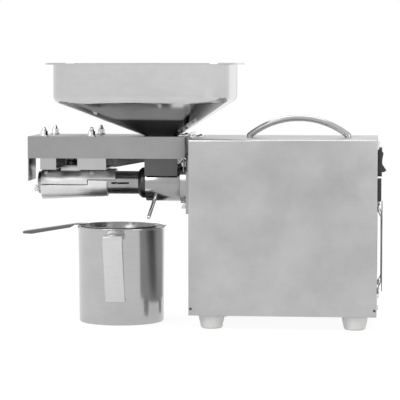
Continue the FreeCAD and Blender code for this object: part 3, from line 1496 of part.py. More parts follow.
def hinge_pin():
    """Pin through the knuckles."""
    return rod("hinge_pin_bar", "hinge_pin_radius", "hinge_length",
               (HINGE_X, "-hinge_length / 2", HINGE_Z), ALONG_Y)


def hinge_screws(name, along, base):
    """The pair of screws of one leaf."""
    return group(name, [hinge_screw("%s_%d" % (name, number), along, across, base)
                        for number, across in enumerate(mirrored_pair("2 * hinge_knuckle"))])


# ---- Feed throat and hopper ----------------------------------------------

def feed_throat():
    """Square duct under the hood whose sides straddle the collar."""
    low = "(%s + throat_side_rise)" % PRESS_Z
    length = "throat_length"
    half = "(throat_inner_width / 2 + throat_sheet)"
    block = box("throat_block", (THROAT_X + " - throat_length / 2", "-" + half, low),
                (length, "2 * " + half, HOOD_UNDER + " - " + low))
    hollow = box("throat_hollow", (THROAT_X + " - throat_length / 2 + throat_sheet",
                                   "-throat_inner_width / 2", low + " - 1"),
                 ("throat_length - 2 * throat_sheet", "throat_inner_width", HOOD_TOP))
    saddle = box("throat_saddle", (THROAT_X + " - throat_length", "-throat_inner_width / 2",
                                   low + " - 1"),
                 ("2 * throat_length", "throat_inner_width",
                  PRESS_Z + " + collar_radius + throat_end_gap - " + low + " + 1"))
    return cut("throat_hollowed", block, hollow, saddle)


def rounded_wire(length, width, corner, middle_x, height):
    """A level rectangle with round corners."""
    a = length / 2 - corner
    b = width / 2 - corner
    edges = []
    spots = [(a, b, 0), (-a, b, 90), (-a, -b, 180), (a, -b, 270)]
    for index, (across, along, angle) in enumerate(spots):
        centre = Vector(middle_x + across, along, height)
        circle = Part.Circle(centre, Vector(0, 0, 1), corner)
        arc = Part.ArcOfCircle(circle, math.radians(angle), math.radians(angle + 90))
        edges.append(arc.toShape())
    wires = []
    for index, arc in enumerate(edges):
        following = edges[(index + 1) % 4]
        wires.append(arc)
        wires.append(Part.LineSegment(arc.valueAt(arc.LastParameter),
                                      following.valueAt(following.FirstParameter)).toShape())
    return Part.Wire(wires)


def hopper_solid(inset, top, bottom):
    """Filled form of the hopper, smaller all round by an inset."""
    length = size("hopper_length") - 2 * inset
    width = size("hopper_width") - 2 * inset
    corner = size("hopper_corner") - inset
    neck_length = size("hopper_neck_length") - 2 * inset
    neck_width = size("hopper_neck_width") - 2 * inset
    neck_corner = size("hopper_neck_corner") - inset
    shift = size("hopper_shift")
    bend = size("hopper_bend")
    side = size(HOPPER_TOP + " - hopper_side") + inset * 0.4
    seat = size(HOOD_TOP + " + hopper_seat_gap") + inset * 0.4
    walls = [rounded_wire(length, width, corner, 0, top),
             rounded_wire(length, width, corner, 0, side)]
    shoulder = [rounded_wire(length, width, corner, 0, side),
                rounded_wire(length - bend * 0.8, width - bend * 0.8, corner - bend * 0.4,
                             shift * 0.02, side - bend * 0.6)]
    taper = [shoulder[1], rounded_wire(neck_length, neck_width, neck_corner, shift, seat)]
    neck = [taper[1], rounded_wire(neck_length, neck_width, neck_corner, shift, bottom)]
    lofts = [Part.makeLoft(pair, True, True) for pair in (walls, shoulder, taper, neck)]
    return lofts[0].multiFuse(lofts[1:])


def hopper():
    """Pressed hopper with a hemmed flange and a neck into the throat."""
    top = size(HOPPER_TOP)
    bottom = size(HOOD_TOP + " - hopper_neck_drop")
    wall = size("hopper_sheet")
    flange = size("hopper_flange")
    outer = hopper_solid(0.0, top, bottom)
    inner = hopper_solid(wall, top + 1, bottom - 1)
    length = size("hopper_length")
    width = size("hopper_width")
    corner = size("hopper_corner")
    rim = Part.Face(rounded_wire(length + 2 * flange, width + 2 * flange, corner + flange, 0,
                                 top - wall)).extrude(Vector(0, 0, wall))
    depth = size("hopper_hem")
    hem = Part.Face(rounded_wire(length + 2 * flange, width + 2 * flange, corner + flange, 0,
                                 top - depth)).extrude(Vector(0, 0, depth))
    within = Part.Face(rounded_wire(length + 2 * (flange - wall), width + 2 * (flange - wall),
                                    corner + flange - wall, 0,
                                    top - depth)).extrude(Vector(0, 0, depth))
    shape = outer.multiFuse([rim, hem.cut(within)]).cut(inner)
    return shaped("hopper_shell", shape, (HOPPER_X, "0", "0"))


# ---- Cup and strainer ----------------------------------------------------

def cup_body():
    """Drawn cup with a rolled lip."""
    profile = [
        ("0", "0"),
        ("cup_bottom_radius - 1.5", "0"),
        ("cup_bottom_radius", "1.5"),
        ("cup_top_radius", "cup_height - 2 * cup_lip"),
        ("cup_top_radius + cup_lip", "cup_height - 1.6 * cup_lip"),
        ("cup_top_radius + cup_lip", "cup_height - 0.4 * cup_lip"),
        ("cup_top_radius", "cup_height"),
        ("cup_top_radius - cup_wall", "cup_height"),
        ("cup_bottom_radius - cup_wall", "1.5 + cup_wall"),
        ("cup_bottom_radius - 1.5 - cup_wall", "cup_wall"),
        ("0", "cup_wall"),
    ]
    return turned("cup_shell", profile, ("cup_place", "0", "0"))


def grip_outline(offset):
    """Side outline of the cup's strap, thinner by an offset."""
    reach = "(cup_top_radius + grip_reach - (%s))" % offset
    foot = "(cup_bottom_radius + grip_foot_reach - (%s))" % offset
    buried = "(cup_bottom_radius - 6)"
    return [
        ("-" + buried, "grip_top - (%s)" % offset),
        ("-" + reach, "grip_top - (%s)" % offset),
        ("-" + reach, "grip_top - 10"),
        ("-" + foot, "grip_bottom + (%s)" % offset),
        ("-" + buried, "grip_bottom + (%s)" % offset),
    ]


def cup_handle():
    """Strap with turned-in edges, closed against the cup's wall."""
    start = "cup_place - grip_width / 2"
    edge = "grip_sheet"
    whole = plate("grip_whole", grip_outline("0"), "grip_width", (start, "0", "0"), FACING_X)
    middle = plate("grip_middle", grip_outline("grip_sheet"), "grip_width - 2 * " + edge,
                   (start + " + " + edge, "0", "0"), FACING_X)
    gap = plate("grip_gap", grip_outline("grip_flange"), "grip_width + 2",
                (start + " - 1", "0", "0"), FACING_X)
    wall = doc.addObject("Part::Cone", "grip_wall")
    bind(wall, Radius1="cup_bottom_radius", Radius2="cup_top_radius", Height="cup_height")
    place(wall, "cup_place", "0", "0")
    return cut("grip_hollowed", whole, middle, gap, wall)


def strainer_bowl():
    """Shallow round strainer with a lug that rests on the cup's rim."""
    profile = [
        ("0", "-strainer_depth"),
        ("strainer_floor_radius", "-strainer_depth"),
        ("strainer_radius", "-strainer_wall"),
        ("strainer_radius", "strainer_wall"),
        ("strainer_radius - strainer_wall", "strainer_wall"),
        ("strainer_radius - strainer_wall", "-strainer_wall"),
        ("strainer_floor_radius - strainer_wall", "strainer_wall - strainer_depth"),
        ("0", "strainer_wall - strainer_depth"),
    ]
    middle = "cup_place - strainer_shift"
    bowl = turned("strainer_pan", profile, (middle, "0", STRAINER_Z))
    lug = box("strainer_lug", (middle + " + strainer_radius - 0.5 * strainer_wall",
                               "-lug_width / 2", STRAINER_Z),
              ("lug_length + 0.5 * strainer_wall", "lug_width", "0.8 * strainer_wall"))
    return join("strainer_joined", bowl, lug)


def strainer_handle():
    """Channel handle that leaves over the rim and slopes down to its tip."""
    root = "(cup_place - strainer_shift - strainer_radius + 6)"
    bend = "(cup_place - cup_top_radius - cup_lip - 2.5)"
    base = "(%s + strainer_wall)" % STRAINER_Z
    fall = "strainer_handle_fall"
    strap = [
        (root, base), (bend, base), ("strainer_handle_tip", base + " - " + fall),
        ("strainer_handle_tip", base + " - " + fall + " + strainer_handle_sheet"),
        (bend, base + " + strainer_handle_sheet"), (root, base + " + strainer_handle_sheet"),
    ]
    top = plate("handle_strap", strap, "strainer_handle_width",
                ("0", "strainer_handle_width / 2", "0"), FACING_USER)
    edge = [
        (bend + " - 2", base + " - 0.2"),
        ("strainer_handle_tip", base + " - " + fall + " + 0.4"),
        ("strainer_handle_tip + 1", base + " - " + fall + " - strainer_handle_depth * 0.4"),
        ("strainer_handle_tip + 12", base + " - " + fall + " * 0.83 - strainer_handle_depth"),
        (bend + " - 6", base + " - strainer_handle_depth"),
    ]
    sides = []
    for number, start in enumerate(["strainer_handle_width / 2",
                                    "-strainer_handle_width / 2 + strainer_handle_sheet"]):
        sides.append(plate("handle_edge_%d" % number, edge, "strainer_handle_sheet",
                           ("0", start, "0"), FACING_USER))
    return join("handle_channel", top, *sides)


# ---- The list of sub-parts -----------------------------------------------

def build_pieces():
    """Make every sub-part under its own name."""
    piece("housing_wrap", drilled_wrap())
    piece("left_end_plate", left_end_plate())
    piece("right_end_plate", right_end_plate())
    piece("base_plate", base_plate())
    piece("feet", feet())
    piece("foot_screws", foot_screws())
    piece("panel_screws", panel_screws())
    piece("carry_handle", carry_handle())
    piece("handle_nuts", handle_nuts())
    piece("switch_body", switch_body())
    piece("switch_rocker", switch_rocker())
    piece("power_inlet", power_inlet())
    piece("fan_frame", fan_frame())
    piece("fan_rotor", fan_rotor())
    piece("fan_guard", fan_guard())
    piece("fan_screws", fan_screws())
    piece("motor_body", motor_body())
    piece("motor_end_bells", motor_end_bells())
    piece("motor_rotor", motor_shaft())
    piece("motor_bracket", motor_bracket())
    piece("motor_capacitor", motor_capacitor())
    piece("control_board", control_board())
    piece("gearbox_case", gearbox_case())
    piece("gearbox_cover", gearbox_cover())
    piece("middle_shaft", middle_shaft())
    piece("middle_wheel", bored_gear("middle_wheel_solid", "wheel_teeth", "first_module",
                                     "first_face", "middle_shaft_radius",
                                     (FIRST_START, "0", MIDDLE_Z)))
    piece("output_shaft", output_shaft())
    piece("output_gear", bored_gear("output_gear_solid", "output_teeth", "second_module",
                                    "second_face", "output_shaft_radius",
                                    (SECOND_START, "0", PRESS_Z)))
    piece("shaft_bearings", bearings())
    piece("mounting_flange", mounting_flange())
    piece("flange_bolts", flange_bolts())
    piece("barrel_holder", barrel_holder())
    piece("locking_bar", locking_bar())
    piece("press_cage", press_cage())
    piece("cage_cone", cage_cone())
    piece("press_screw", press_screw())
    piece("press_head", press_head())
    piece("nozzle_bolt", nozzle_bolt())
    piece("heater_upper", heater_upper())
    piece("heater_lower", heater_lower())
    piece("jacket_screws", jacket_screws())
    piece("thermostat", thermostat())
    piece("hanger_straps", hangers())
    piece("hanger_bolts", hanger_studs())
    piece("hood_cover", hood_cover())
    piece("hood_left_plate", hood_left_plate())
    piece("hood_right_plate", hood_right_plate())
    piece("cap_nuts", cap_nuts())
    piece("hinge_housing_leaf", hinge_housing_leaf())
    piece("hinge_hood_leaf", hinge_hood_leaf())
    piece("hinge_pin", hinge_pin())
    piece("hinge_housing_screws", hinge_screws("housing_leaf_screws", "housing_start + 6",
                                               HOUSING_TOP))
    piece("hinge_hood_screws", hinge_screws("hood_leaf_screws", HOOD_END + " - 4.5",
                                            HOOD_TOP))
    piece("feed_throat", feed_throat())
    piece("hopper", hopper())
    piece("cup_body", cup_body())
    piece("cup_handle", cup_handle())
    piece("strainer_bowl", strainer_bowl())
    piece("strainer_handle", strainer_handle())


def check_pieces():
    """Stop if any object of the document or any finished shape has failed."""
    for thing in doc.Objects:
        if "Invalid" in thing.State or "Error" in thing.State:
            raise RuntimeError("%s failed: %s" % (thing.Name, thing.State))
    for thing in pieces:
        if thing.Shape.isNull() or not thing.Shape.isValid():
            raise RuntimeError("%s has no valid shape" % thing.Label)


def write_pieces():
    """Write one STEP file for each sub-part."""
    os.makedirs("parts", exist_ok=True)
    for thing in pieces:
        thing.Shape.exportStep(os.path.join("parts", thing.Label + ".step"))
        print(thing.Label, len(thing.Shape.Solids), round(thing.Shape.Volume, 1))


build_pieces()
doc.recompute()
check_pieces()
write_pieces()
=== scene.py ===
"""Looks of the screw oil press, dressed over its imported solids.  Metres."""
import json
import math

import bpy
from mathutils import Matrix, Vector


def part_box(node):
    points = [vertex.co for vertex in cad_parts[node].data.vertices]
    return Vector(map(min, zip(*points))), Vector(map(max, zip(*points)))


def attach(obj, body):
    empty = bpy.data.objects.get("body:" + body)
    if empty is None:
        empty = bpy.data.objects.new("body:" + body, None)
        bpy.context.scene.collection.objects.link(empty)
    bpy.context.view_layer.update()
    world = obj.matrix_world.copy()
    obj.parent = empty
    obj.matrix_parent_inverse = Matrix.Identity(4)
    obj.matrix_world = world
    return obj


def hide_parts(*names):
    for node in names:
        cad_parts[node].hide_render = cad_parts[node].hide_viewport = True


MM = 0.001
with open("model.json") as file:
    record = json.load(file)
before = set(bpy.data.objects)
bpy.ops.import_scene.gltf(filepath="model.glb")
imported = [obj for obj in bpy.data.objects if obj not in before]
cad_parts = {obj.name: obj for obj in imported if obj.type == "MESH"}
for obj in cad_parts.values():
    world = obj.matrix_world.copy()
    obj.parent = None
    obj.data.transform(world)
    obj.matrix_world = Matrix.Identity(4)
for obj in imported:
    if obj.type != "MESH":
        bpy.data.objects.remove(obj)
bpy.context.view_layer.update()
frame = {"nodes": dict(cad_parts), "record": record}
SLOT_OF = {part["node"]: part["material_slot"] for part in frame["record"]["subparts"]}
BODY_OF = {node: body for body, nodes in frame["record"]["behaviour"]["bodies"].items()
           for node in nodes}


# ---- Materials -----------------------------------------------------------

def new_material(name):
    """A node material with its shader, and the nodes and links to build on."""
    material = bpy.data.materials.new(name)
    material.use_nodes = True
    tree = material.node_tree
    shader = tree.nodes["Principled BSDF"]
    return material, tree, shader


def node_of(tree, kind, **settings):
    """A new node with some of its settings."""
    node = tree.nodes.new(kind)
    for key, value in settings.items():
        setattr(node, key, value)
    return node


def place_coordinates(tree, scale, location=(0, 0, 0)):
    """Object coordinates, moved and stretched."""
    source = node_of(tree, "ShaderNodeTexCoord")
    mapping = node_of(tree, "ShaderNodeMapping")
    mapping.inputs["Scale"].default_value = scale
    mapping.inputs["Location"].default_value = location
    tree.links.new(source.outputs["Object"], mapping.inputs["Vector"])
    return mapping.outputs["Vector"]


def noise(tree, vector, scale, detail=3.0, roughness=0.5):
    """A noise pattern's grey value."""
    texture = node_of(tree, "ShaderNodeTexNoise")
    texture.inputs["Scale"].default_value = scale
    texture.inputs["Detail"].default_value = detail
    texture.inputs["Roughness"].default_value = roughness
    tree.links.new(vector, texture.inputs["Vector"])
    return texture.outputs["Fac"]


def ramp(tree, value, stops):
    """Colours along a grey value; each stop is (place, grey or colour)."""
    node = node_of(tree, "ShaderNodeValToRGB")
    elements = node.color_ramp.elements
    while len(elements) < len(stops):
        elements.new(0.5)
    for element, (spot, colour) in zip(elements, stops):
        element.position = spot
        shade = (colour, colour, colour) if isinstance(colour, float) else colour
        element.color = (*shade, 1.0)
    tree.links.new(value, node.inputs["Fac"])
    return node.outputs["Color"]


def scaled(tree, value, low, high):
    """A grey value spread from 0..1 to low..high."""
    node = node_of(tree, "ShaderNodeMapRange")
    node.inputs["To Min"].default_value = low
    node.inputs["To Max"].default_value = high
    tree.links.new(value, node.inputs["Value"])
    return node.outputs["Result"]


def mixed(tree, first, second, factor=0.5, kind="MULTIPLY"):
    """Two colours mixed."""
    node = node_of(tree, "ShaderNodeMix", data_type="RGBA", blend_type=kind)
    node.inputs["Factor"].default_value = factor
    tree.links.new(first, node.inputs["A"])
    tree.links.new(second, node.inputs["B"])
    return node.outputs["Result"]


def bumped(tree, shader, height, strength, distance):
    """A small relief on the shader's normal."""
    node = node_of(tree, "ShaderNodeBump")
    node.inputs["Strength"].default_value = strength
    node.inputs["Distance"].default_value = distance
    tree.links.new(height, node.inputs["Height"])
    tree.links.new(node.outputs["Normal"], shader.inputs["Normal"])


def steel(name, tone, roughness, grain, stretch, contrast=0.08, relief=0.15):
    """Metal with a fine grain along one direction and soft cloudy wear."""
    material, tree, shader = new_material(name)
    fine = noise(tree, place_coordinates(tree, stretch), grain, 4.0, 0.6)
    cloud = noise(tree, place_coordinates(tree, (1, 1, 1)), 14.0, 4.0, 0.6)
    fine_tone = ramp(tree, fine, [(0.25, 1.0 - contrast), (0.75, 1.0)])
    cloud_tone = ramp(tree, cloud, [(0.3, tone * (1 - 2 * contrast)), (0.7, tone)])
    colour = mixed(tree, cloud_tone, fine_tone, 1.0)
    tree.links.new(colour, shader.inputs["Base Color"])
    shader.inputs["Metallic"].default_value = 1.0
    rough = scaled(tree, fine, roughness * 0.8, roughness * 1.25)
    tree.links.new(rough, shader.inputs["Roughness"])
    bumped(tree, shader, fine, relief, 0.0002)
    return material


def plastic(name, colour, roughness, grain=900.0, relief=0.08):
    """Moulded plastic with a fine texture and slight tone changes."""
    material, tree, shader = new_material(name)
    fine = noise(tree, place_coordinates(tree, (1, 1, 1)), grain, 2.0)
    cloud = noise(tree, place_coordinates(tree, (1, 1, 1)), 30.0, 3.0)
    darker = tuple(channel * 0.9 for channel in colour)
    tree.links.new(ramp(tree, cloud, [(0.3, darker), (0.7, colour)]),
                   shader.inputs["Base Color"])
    tree.links.new(scaled(tree, cloud, roughness * 0.85, roughness * 1.15),
                   shader.inputs["Roughness"])
    bumped(tree, shader, fine, relief, 0.0002)
    return material


def make_materials():
    """Every finish of the object, by the record's slot or by its own name."""
    brushed = (1, 12, 60)
    return {
        "stainless_panel": steel("panel_sheet", 0.53, 0.3, 60.0, brushed, 0.1),
        "hood_sheet": steel("hood_sheet", 0.36, 0.32, 60.0, brushed),
        "hopper_sheet": steel("hopper_sheet", 0.6, 0.12, 40.0, (1, 1, 6), 0.06, 0.04),
        "cup_wall": steel("cup_wall", 0.5, 0.16, 40.0, (1, 1, 6), 0.05, 0.04),
        "cup_strap": steel("cup_strap", 0.65, 0.2, 40.0, (1, 1, 6), 0.05, 0.04),
        # Partly painted shade: the barrel holder's tone is its steel colour, darkened a little for the
        # shade below the hood.
        "holder_steel_and_painted_shade": steel("holder_steel_and_painted_shade", 0.4, 0.2, 120.0, (12, 1, 1), 0.1, 0.1),
        "bent_rod": steel("bent_rod", 0.5, 0.2, 60.0, (1, 8, 8), 0.08, 0.1),
        "guard_wire": steel("guard_wire", 0.3, 0.3, 60.0, (1, 1, 1)),
        # Painted shade: the feed throat's steel is given a near-black tone for the shadow under the
        # hood, not the steel's own colour.
        "throat_sheet": steel("throat_sheet", 0.12, 0.25, 60.0, (1, 1, 6)),
        "strainer_sheet": steel("strainer_sheet", 0.3, 0.25, 60.0, (1, 1, 6)),
        # Painted shade: the strainer handle's steel is given a dark tone, darker than the steel's own
        # colour, to stand for the shade it lies in.
        "strainer_strap_painted_shade": steel("strainer_strap_painted_shade", 0.17, 0.3, 60.0, (6, 1, 1)),
        "polished_stainless": steel("polished_sheet", 0.78, 0.14, 40.0, (1, 1, 8), 0.05, 0.05),
        "machined_steel": steel("turned_steel", 0.42, 0.24, 120.0, (12, 1, 1), 0.12),
        "cast_jacket": steel("pressed_jacket", 0.85, 0.42, 90.0, (1, 1, 1), 0.12),
        "dark_steel": steel("blued_steel", 0.08, 0.35, 90.0, (1, 1, 1)),
        "fastener": steel("bright_plating", 0.7, 0.18, 150.0, (1, 1, 1)),
        "cast_case": steel("cast_grey", 0.3, 0.5, 150.0, (1, 1, 1)),
        "white_foot": plastic("foot_plastic", (0.83, 0.83, 0.82), 0.45),
        "black_plastic": plastic("black_housing_plastic", (0.03, 0.03, 0.032), 0.45),
        "rocker_plastic": plastic("gloss_rocker_plastic", (0.035, 0.035, 0.04), 0.2),
        "motor_paint": plastic("motor_paint", (0.06, 0.06, 0.065), 0.35),
        "board_green": plastic("board_laminate", (0.03, 0.12, 0.06), 0.4),
    }


# ---- Modelling tools -----------------------------------------------------

def only(piece):
    """Select one object alone and make it active."""
    bpy.ops.object.select_all(action="DESELECT")
    piece.select_set(True)
    bpy.context.view_layer.objects.active = piece


def settle(piece):
    """Put the piece's place into its mesh."""
    only(piece)
    bpy.ops.object.transform_apply(location=True, rotation=True, scale=True)


def with_bevel(piece, width, segments=2, angle=35.0):
    """Round the sharp edges by a bevel and shade the rest smooth."""
    only(piece)
    if width > 0:
        bevel = piece.modifiers.new("edges", "BEVEL")
        bevel.width = width
        bevel.segments = segments
        bevel.limit_method = "ANGLE"
        bevel.angle_limit = math.radians(angle)
        bevel.harden_normals = False
        bpy.ops.object.modifier_apply(modifier=bevel.name)
    bpy.ops.object.shade_smooth_by_angle(angle=math.radians(angle))


def finish_piece(piece, body, material, replaced=()):
    """Give a piece its material, its body and the nodes that it stands for."""
    piece.data.materials.clear()
    piece.data.materials.append(material)
    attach(piece, body)
    if replaced:
        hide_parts(*replaced)
    return piece


def dressed(node, bevel, material=None, segments=2):
    """A merged copy of a CAD node with rounded edges, which stands for the node."""
    source = frame["nodes"][node]
    piece = bpy.data.objects.new(node + "_finish", source.data.copy())
    bpy.context.scene.collection.objects.link(piece)
    only(piece)
    bpy.ops.object.mode_set(mode="EDIT")
    bpy.ops.mesh.select_all(action="SELECT")
    bpy.ops.mesh.remove_doubles(threshold=1e-6)
    bpy.ops.mesh.dissolve_limited(angle_limit=math.radians(0.3))
    bpy.ops.object.mode_set(mode="OBJECT")
    with_bevel(piece, bevel, segments)
    slot = SLOT_OF[node]
    return finish_piece(piece, BODY_OF[node], material or MATERIALS[slot], [node])


def rounded_outline(name, length, width, corner, centre, steps):
    """A flat rectangle with round corners, as an open ring of edges."""
    bpy.ops.object.select_all(action="DESELECT")
    bpy.ops.mesh.primitive_plane_add(size=1, location=centre)
    ring = bpy.context.object
    ring.name = name
    ring.scale = (length, width, 1)
    settle(ring)
    bpy.ops.object.mode_set(mode="EDIT")
    bpy.ops.mesh.select_all(action="SELECT")
    bpy.ops.mesh.bevel(offset=corner, segments=steps, affect="VERTICES", clamp_overlap=False)
    bpy.ops.mesh.select_all(action="SELECT")
    bpy.ops.mesh.delete(type="ONLY_FACE")
    bpy.ops.mesh.select_all(action="SELECT")
    return ring


def round_outline(name, radius, centre, steps):
    """A circle as an open ring of edges, in edit mode."""
    bpy.ops.object.select_all(action="DESELECT")
    bpy.ops.mesh.primitive_circle_add(vertices=steps, radius=radius, location=centre)
    ring = bpy.context.object
    ring.name = name
    settle(ring)
    bpy.ops.object.mode_set(mode="EDIT")
    bpy.ops.mesh.select_all(action="SELECT")
    return ring


def draw_ring(centre, shift, grow):
    """Extrude the selected ring, move it and scale it about a centre."""
    bpy.ops.mesh.extrude_edges_move(TRANSFORM_OT_translate={"value": shift})
    spot = Vector(centre) + Vector(shift)
    bpy.ops.transform.resize(value=(grow[0], grow[1], 1), center_override=spot)
    return spot


def close_mesh(piece):
    """Leave edit mode with merged points and outward normals."""
    bpy.ops.mesh.select_all(action="SELECT")
    bpy.ops.mesh.remove_doubles(threshold=1e-6)
    bpy.ops.mesh.normals_make_consistent(inside=False)
    bpy.ops.object.mode_set(mode="OBJECT")
    return piece


def walled(piece, thickness, offset):
    """Give a surface its wall."""
    only(piece)
    wall = piece.modifiers.new("wall", "SOLIDIFY")
    wall.thickness = thickness
    wall.offset = offset
    wall.use_even_offset = True
    bpy.ops.object.modifier_apply(modifier=wall.name)
    return piece


# ---- Hopper --------------------------------------------------------------

HOPPER_SHEET = 1.2 * MM
FLANGE = 10.0 * MM
HEM = 2.5 * MM
SIDE_HEIGHT = 42.5 * MM
SIDE_BEND = 9.0 * MM


def make_hopper():
    """Pressed hopper: hemmed flange, straight side, soft bend, taper and neck."""
    low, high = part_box("hopper")
    throat_low, throat_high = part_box("feed_throat")
    middle = (low + high) / 2
    length = high.x - low.x
    width = high.y - low.y
    inner_length = length - 2 * FLANGE
    inner_width = width - 2 * FLANGE
    neck_x = (throat_low.x + throat_high.x) / 2
    ring = rounded_outline("hopper_pressing", length, width, 45 * MM,
                           (middle.x, middle.y, high.z - HEM), 10)
    spot = Vector((middle.x, middle.y, high.z - HEM))
    spot = draw_ring(spot, (0, 0, HEM), (1, 1))
    spot = draw_ring(spot, (0, 0, 0), (inner_length / length, inner_width / width))
    spot = draw_ring(spot, (0, 0, -SIDE_HEIGHT), (1, 1))
    neck_length = 38.0 * MM
    neck_width = 45.0 * MM
    seat = 0.3 * MM
    drop = spot.z - SIDE_BEND / 2 - (frame_top("hood_cover") + seat)
    slope = math.atan2(drop, (inner_length - neck_length) / 2)
    turn = math.pi / 2 - slope
    grown_length = inner_length
    grown_width = inner_width
    steps = 6
    for step in range(1, steps + 1):
        before = turn * (step - 1) / steps
        after = turn * step / steps
        down = SIDE_BEND * (math.sin(after) - math.sin(before))
        inward = SIDE_BEND * (math.cos(before) - math.cos(after))
        grow = ((grown_length - 2 * inward) / grown_length,
                (grown_width - 2 * inward) / grown_width)
        spot = draw_ring(spot, (0, 0, -down), grow)
        grown_length -= 2 * inward
        grown_width -= 2 * inward
    rings = 8
    start = Vector(spot)
    target = Vector((neck_x, middle.y, frame_top("hood_cover") + seat))
    for step in range(1, rings + 1):
        wanted = start.lerp(target, step / rings)
        new_length = grown_length + (neck_length - grown_length) / (rings - step + 1)
        new_width = grown_width + (neck_width - grown_width) / (rings - step + 1)
        spot = draw_ring(spot, tuple(wanted - spot),
                         (new_length / grown_length, new_width / grown_width))
        grown_length = new_length
        grown_width = new_width
    draw_ring(spot, (0, 0, low.z - spot.z), (1, 1))
    close_mesh(ring)
    walled(ring, HOPPER_SHEET, -1)
    with_bevel(ring, 0.4 * MM, 2, 50)
    return finish_piece(ring, "hopper", MATERIALS["hopper_sheet"],
                        ["hopper"])


def frame_top(node):
    """Height of the top of a CAD node."""
    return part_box(node)[1].z


# ---- Cup and strainer ----------------------------------------------------

def make_cup():
    """Drawn cup: rounded foot, slightly flared wall and rolled lip."""
    low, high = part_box("cup_body")
    centre = (low + high) / 2
    lip = 1.1 * MM
    top_radius = (high.x - low.x) / 2 - lip
    foot_radius = top_radius - 1.15 * MM
    wall = 0.9 * MM
    stations = [
        (foot_radius - 4 * MM, 0.0),
        (foot_radius - 1.5 * MM, 0.3 * MM),
        (foot_radius - 0.3 * MM, 1.3 * MM),
        (foot_radius, 3.0 * MM),
        (foot_radius + 0.1 * MM, 12 * MM),
        (top_radius, high.z - 2.6 * lip),
        (top_radius + 0.35 * lip, high.z - 2.0 * lip),
    ]
    ring = round_outline("cup_shell", foot_radius - 4 * MM, (centre.x, centre.y, 0), 128)
    bpy.ops.mesh.edge_face_add()
    spot = Vector((centre.x, centre.y, 0))
    for before, after in zip(stations, stations[1:]):
        grow = after[0] / before[0]
        spot = draw_ring(spot, (0, 0, after[1] - before[1]), (grow, grow))
    radius = stations[-1][0]
    for step in range(1, 9):
        angle = math.radians(-60 + 30 * step)
        new_radius = top_radius - 0.05 * MM + lip * max(0.0, math.cos(angle)) * 1.0
        height = high.z - lip + lip * math.sin(angle)
        spot = draw_ring(spot, (0, 0, height - spot.z), (new_radius / radius,) * 2)
        radius = new_radius
    inner = top_radius - wall
    spot = draw_ring(spot, (0, 0, -1.5 * lip), (inner / radius, inner / radius))
    foot_inner = foot_radius - wall
    spot = draw_ring(spot, (0, 0, 4 * MM - spot.z), (foot_inner / inner, foot_inner / inner))
    spot = draw_ring(spot, (0, 0, -2.6 * MM), (0.96, 0.96))
    spot = draw_ring(spot, (0, 0, -0.5 * MM), (0.93, 0.93))
    bpy.ops.mesh.edge_face_add()
    close_mesh(ring)
    with_bevel(ring, 0, 1, 40)
    return finish_piece(ring, "cup", MATERIALS["cup_wall"], ["cup_body"])


def make_strainer():
    """The strainer pan: a merged copy of its CAD node with rounded edges."""
    pan = dressed("strainer_bowl", 0.3 * MM, MATERIALS["strainer_sheet"])
    return pan


# ---- Housing details -----------------------------------------------------

def make_corner_screws():
    """Small domed screws low on the front panel's corners."""
    low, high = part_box("housing_wrap")
    inset = 2.7 * MM
    rise = 8.5 * MM
    radius = 1.7 * MM
    spots = [low.x + inset, high.x - inset]
    for number, along in enumerate(spots):
        bpy.ops.object.select_all(action="DESELECT")
        bpy.ops.mesh.primitive_uv_sphere_add(segments=24, ring_count=12, radius=radius,
                                             location=(along, low.y, low.z + rise))
        screw = bpy.context.object
        screw.name = "corner_screw_%d" % number
        screw.scale = (1, 0.45, 1)
        settle(screw)
        with_bevel(screw, 0, 1, 60)
        finish_piece(screw, "housing", MATERIALS["dark_steel"])


# ---- Stage ---------------------------------------------------------------

def make_stage():
    """Pale floor that keeps the object's shadow."""
    bpy.ops.object.select_all(action="DESELECT")
    bpy.ops.mesh.primitive_plane_add(size=1, location=(0, 0, 0))
    floor = bpy.context.object
    floor.name = "floor"
    floor.scale = (14, 14, 1)
    settle(floor)
    material, tree, shader = new_material("pale_floor")
    shader.inputs["Base Color"].default_value = (0.9, 0.9, 0.9, 1)
    shader.inputs["Roughness"].default_value = 0.9
    shader.inputs["Specular IOR Level"].default_value = 0.0
    lift = node_of(tree, "ShaderNodeEmission")
    lift.inputs["Color"].default_value = (1, 1, 1, 1)
    lift.inputs["Strength"].default_value = 1.12
    path = node_of(tree, "ShaderNodeLightPath")
    direct = node_of(tree, "ShaderNodeMath", operation="MAXIMUM")
    tree.links.new(path.outputs["Is Camera Ray"], direct.inputs[0])
    tree.links.new(path.outputs["Is Glossy Ray"], direct.inputs[1])
    seen = scaled(tree, direct.outputs["Value"], 0.0, 0.8)
    blend = node_of(tree, "ShaderNodeMixShader")
    tree.links.new(seen, blend.inputs["Fac"])
    tree.links.new(shader.outputs["BSDF"], blend.inputs[1])
    tree.links.new(lift.outputs["Emission"], blend.inputs[2])
    tree.links.new(blend.outputs["Shader"], tree.nodes["Material Output"].inputs["Surface"])
    floor.data.materials.append(material)


def make_world():
    """White where the camera, metal and glass look; a softer level for the light."""
    world = bpy.data.worlds.new("studio")
    bpy.context.scene.world = world
    world.use_nodes = True
    tree = world.node_tree
    background = tree.nodes["Background"]
    background.inputs["Color"].default_value = (1, 1, 1, 1)
    path = node_of(tree, "ShaderNodeLightPath")
    white = node_of(tree, "ShaderNodeMath", operation="MAXIMUM")
    tree.links.new(path.outputs["Is Camera Ray"], white.inputs[0])
    glossy = node_of(tree, "ShaderNodeMath", operation="MAXIMUM")
    tree.links.new(path.outputs["Is Glossy Ray"], glossy.inputs[0])
    tree.links.new(path.outputs["Is Transmission Ray"], glossy.inputs[1])
    tree.links.new(glossy.outputs["Value"], white.inputs[1])
    tree.links.new(scaled(tree, white.outputs["Value"], 0.55, 1.0),
                   background.inputs["Strength"])


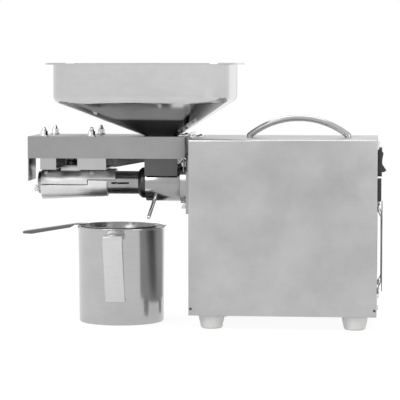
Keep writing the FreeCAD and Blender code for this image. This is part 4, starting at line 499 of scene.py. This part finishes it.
def add_lamp(name, place, aim, size, power):
    """A large soft area lamp."""
    data = bpy.data.lights.new(name, "AREA")
    data.shape = "RECTANGLE"
    data.size = size[0]
    data.size_y = size[1]
    data.energy = power
    lamp = bpy.data.objects.new(name, data)
    lamp.location = place
    lamp.rotation_euler = (Vector(aim) - Vector(place)).to_track_quat("-Z", "Y").to_euler()
    bpy.context.scene.collection.objects.link(lamp)


def make_lamps():
    """Soft key from the upper left front, fill from the right and a top lamp."""
    add_lamp("key", (-1.3, -1.9, 1.7), (0, 0, 0.15), (1.2, 1.2), 22)
    add_lamp("fill", (1.7, -1.6, 0.9), (0, 0, 0.15), (1.0, 1.4), 10)
    add_lamp("top", (0.0, 0.3, 2.2), (0, 0, 0.1), (1.6, 1.6), 16)


def make_camera():
    """Camera at the user's side, a little above and to the right."""
    data = bpy.data.cameras.new("camera")
    data.lens = CAMERA_LENS
    data.sensor_width = 36.0
    camera = bpy.data.objects.new("camera", data)
    camera.location = CAMERA_PLACE
    camera.rotation_euler = Vector(CAMERA_AIM).to_track_quat("-Z", "Y").to_euler()
    bpy.context.scene.collection.objects.link(camera)
    bpy.context.scene.camera = camera


CAMERA_LENS = 177.5
CAMERA_PLACE = (0.237, -2.555, 0.338)
CAMERA_AIM = (-0.0945, 1.0, -0.0699)


# ---- Put together --------------------------------------------------------

MATERIALS = make_materials()

make_hopper()
make_cup()
make_strainer()
make_corner_screws()

SPECIAL = {"hopper", "cup_body", "strainer_bowl"}
FINISH = {
    "hood_cover": (0.8, "hood_sheet"), "hood_left_plate": (0.3, "hood_sheet"),
    "hood_right_plate": (0.3, "hood_sheet"), "housing_wrap": (1.0, None),
    "feet": (0.6, None), "heater_upper": (0.8, None), "heater_lower": (1.2, None),
    "barrel_holder": (0.8, "holder_steel_and_painted_shade"), "cup_handle": (0.5, "cup_strap"), "cage_cone": (0.5, None),
    "mounting_flange": (0.8, None), "switch_body": (0.8, None), "switch_rocker": (0.8, None),
    "power_inlet": (0.8, None), "carry_handle": (0.0, "bent_rod"), "locking_bar": (0.0, None),
    "cap_nuts": (0.25, None), "fan_guard": (0.0, "guard_wire"), "press_screw": (0.0, None),
    "motor_rotor": (0.0, None), "middle_wheel": (0.0, None), "output_gear": (0.0, None),
    "middle_shaft": (0.0, None), "feed_throat": (0.3, "throat_sheet"),
    "strainer_handle": (0.3, "strainer_strap_painted_shade"),
}
for node in SLOT_OF:
    if node in SPECIAL:
        continue
    width, finish = FINISH.get(node, (0.3, None))
    dressed(node, width * MM, MATERIALS.get(finish) if finish else None)

make_stage()
make_world()
make_lamps()
make_camera()
bpy.context.scene.view_settings.view_transform = "Standard"
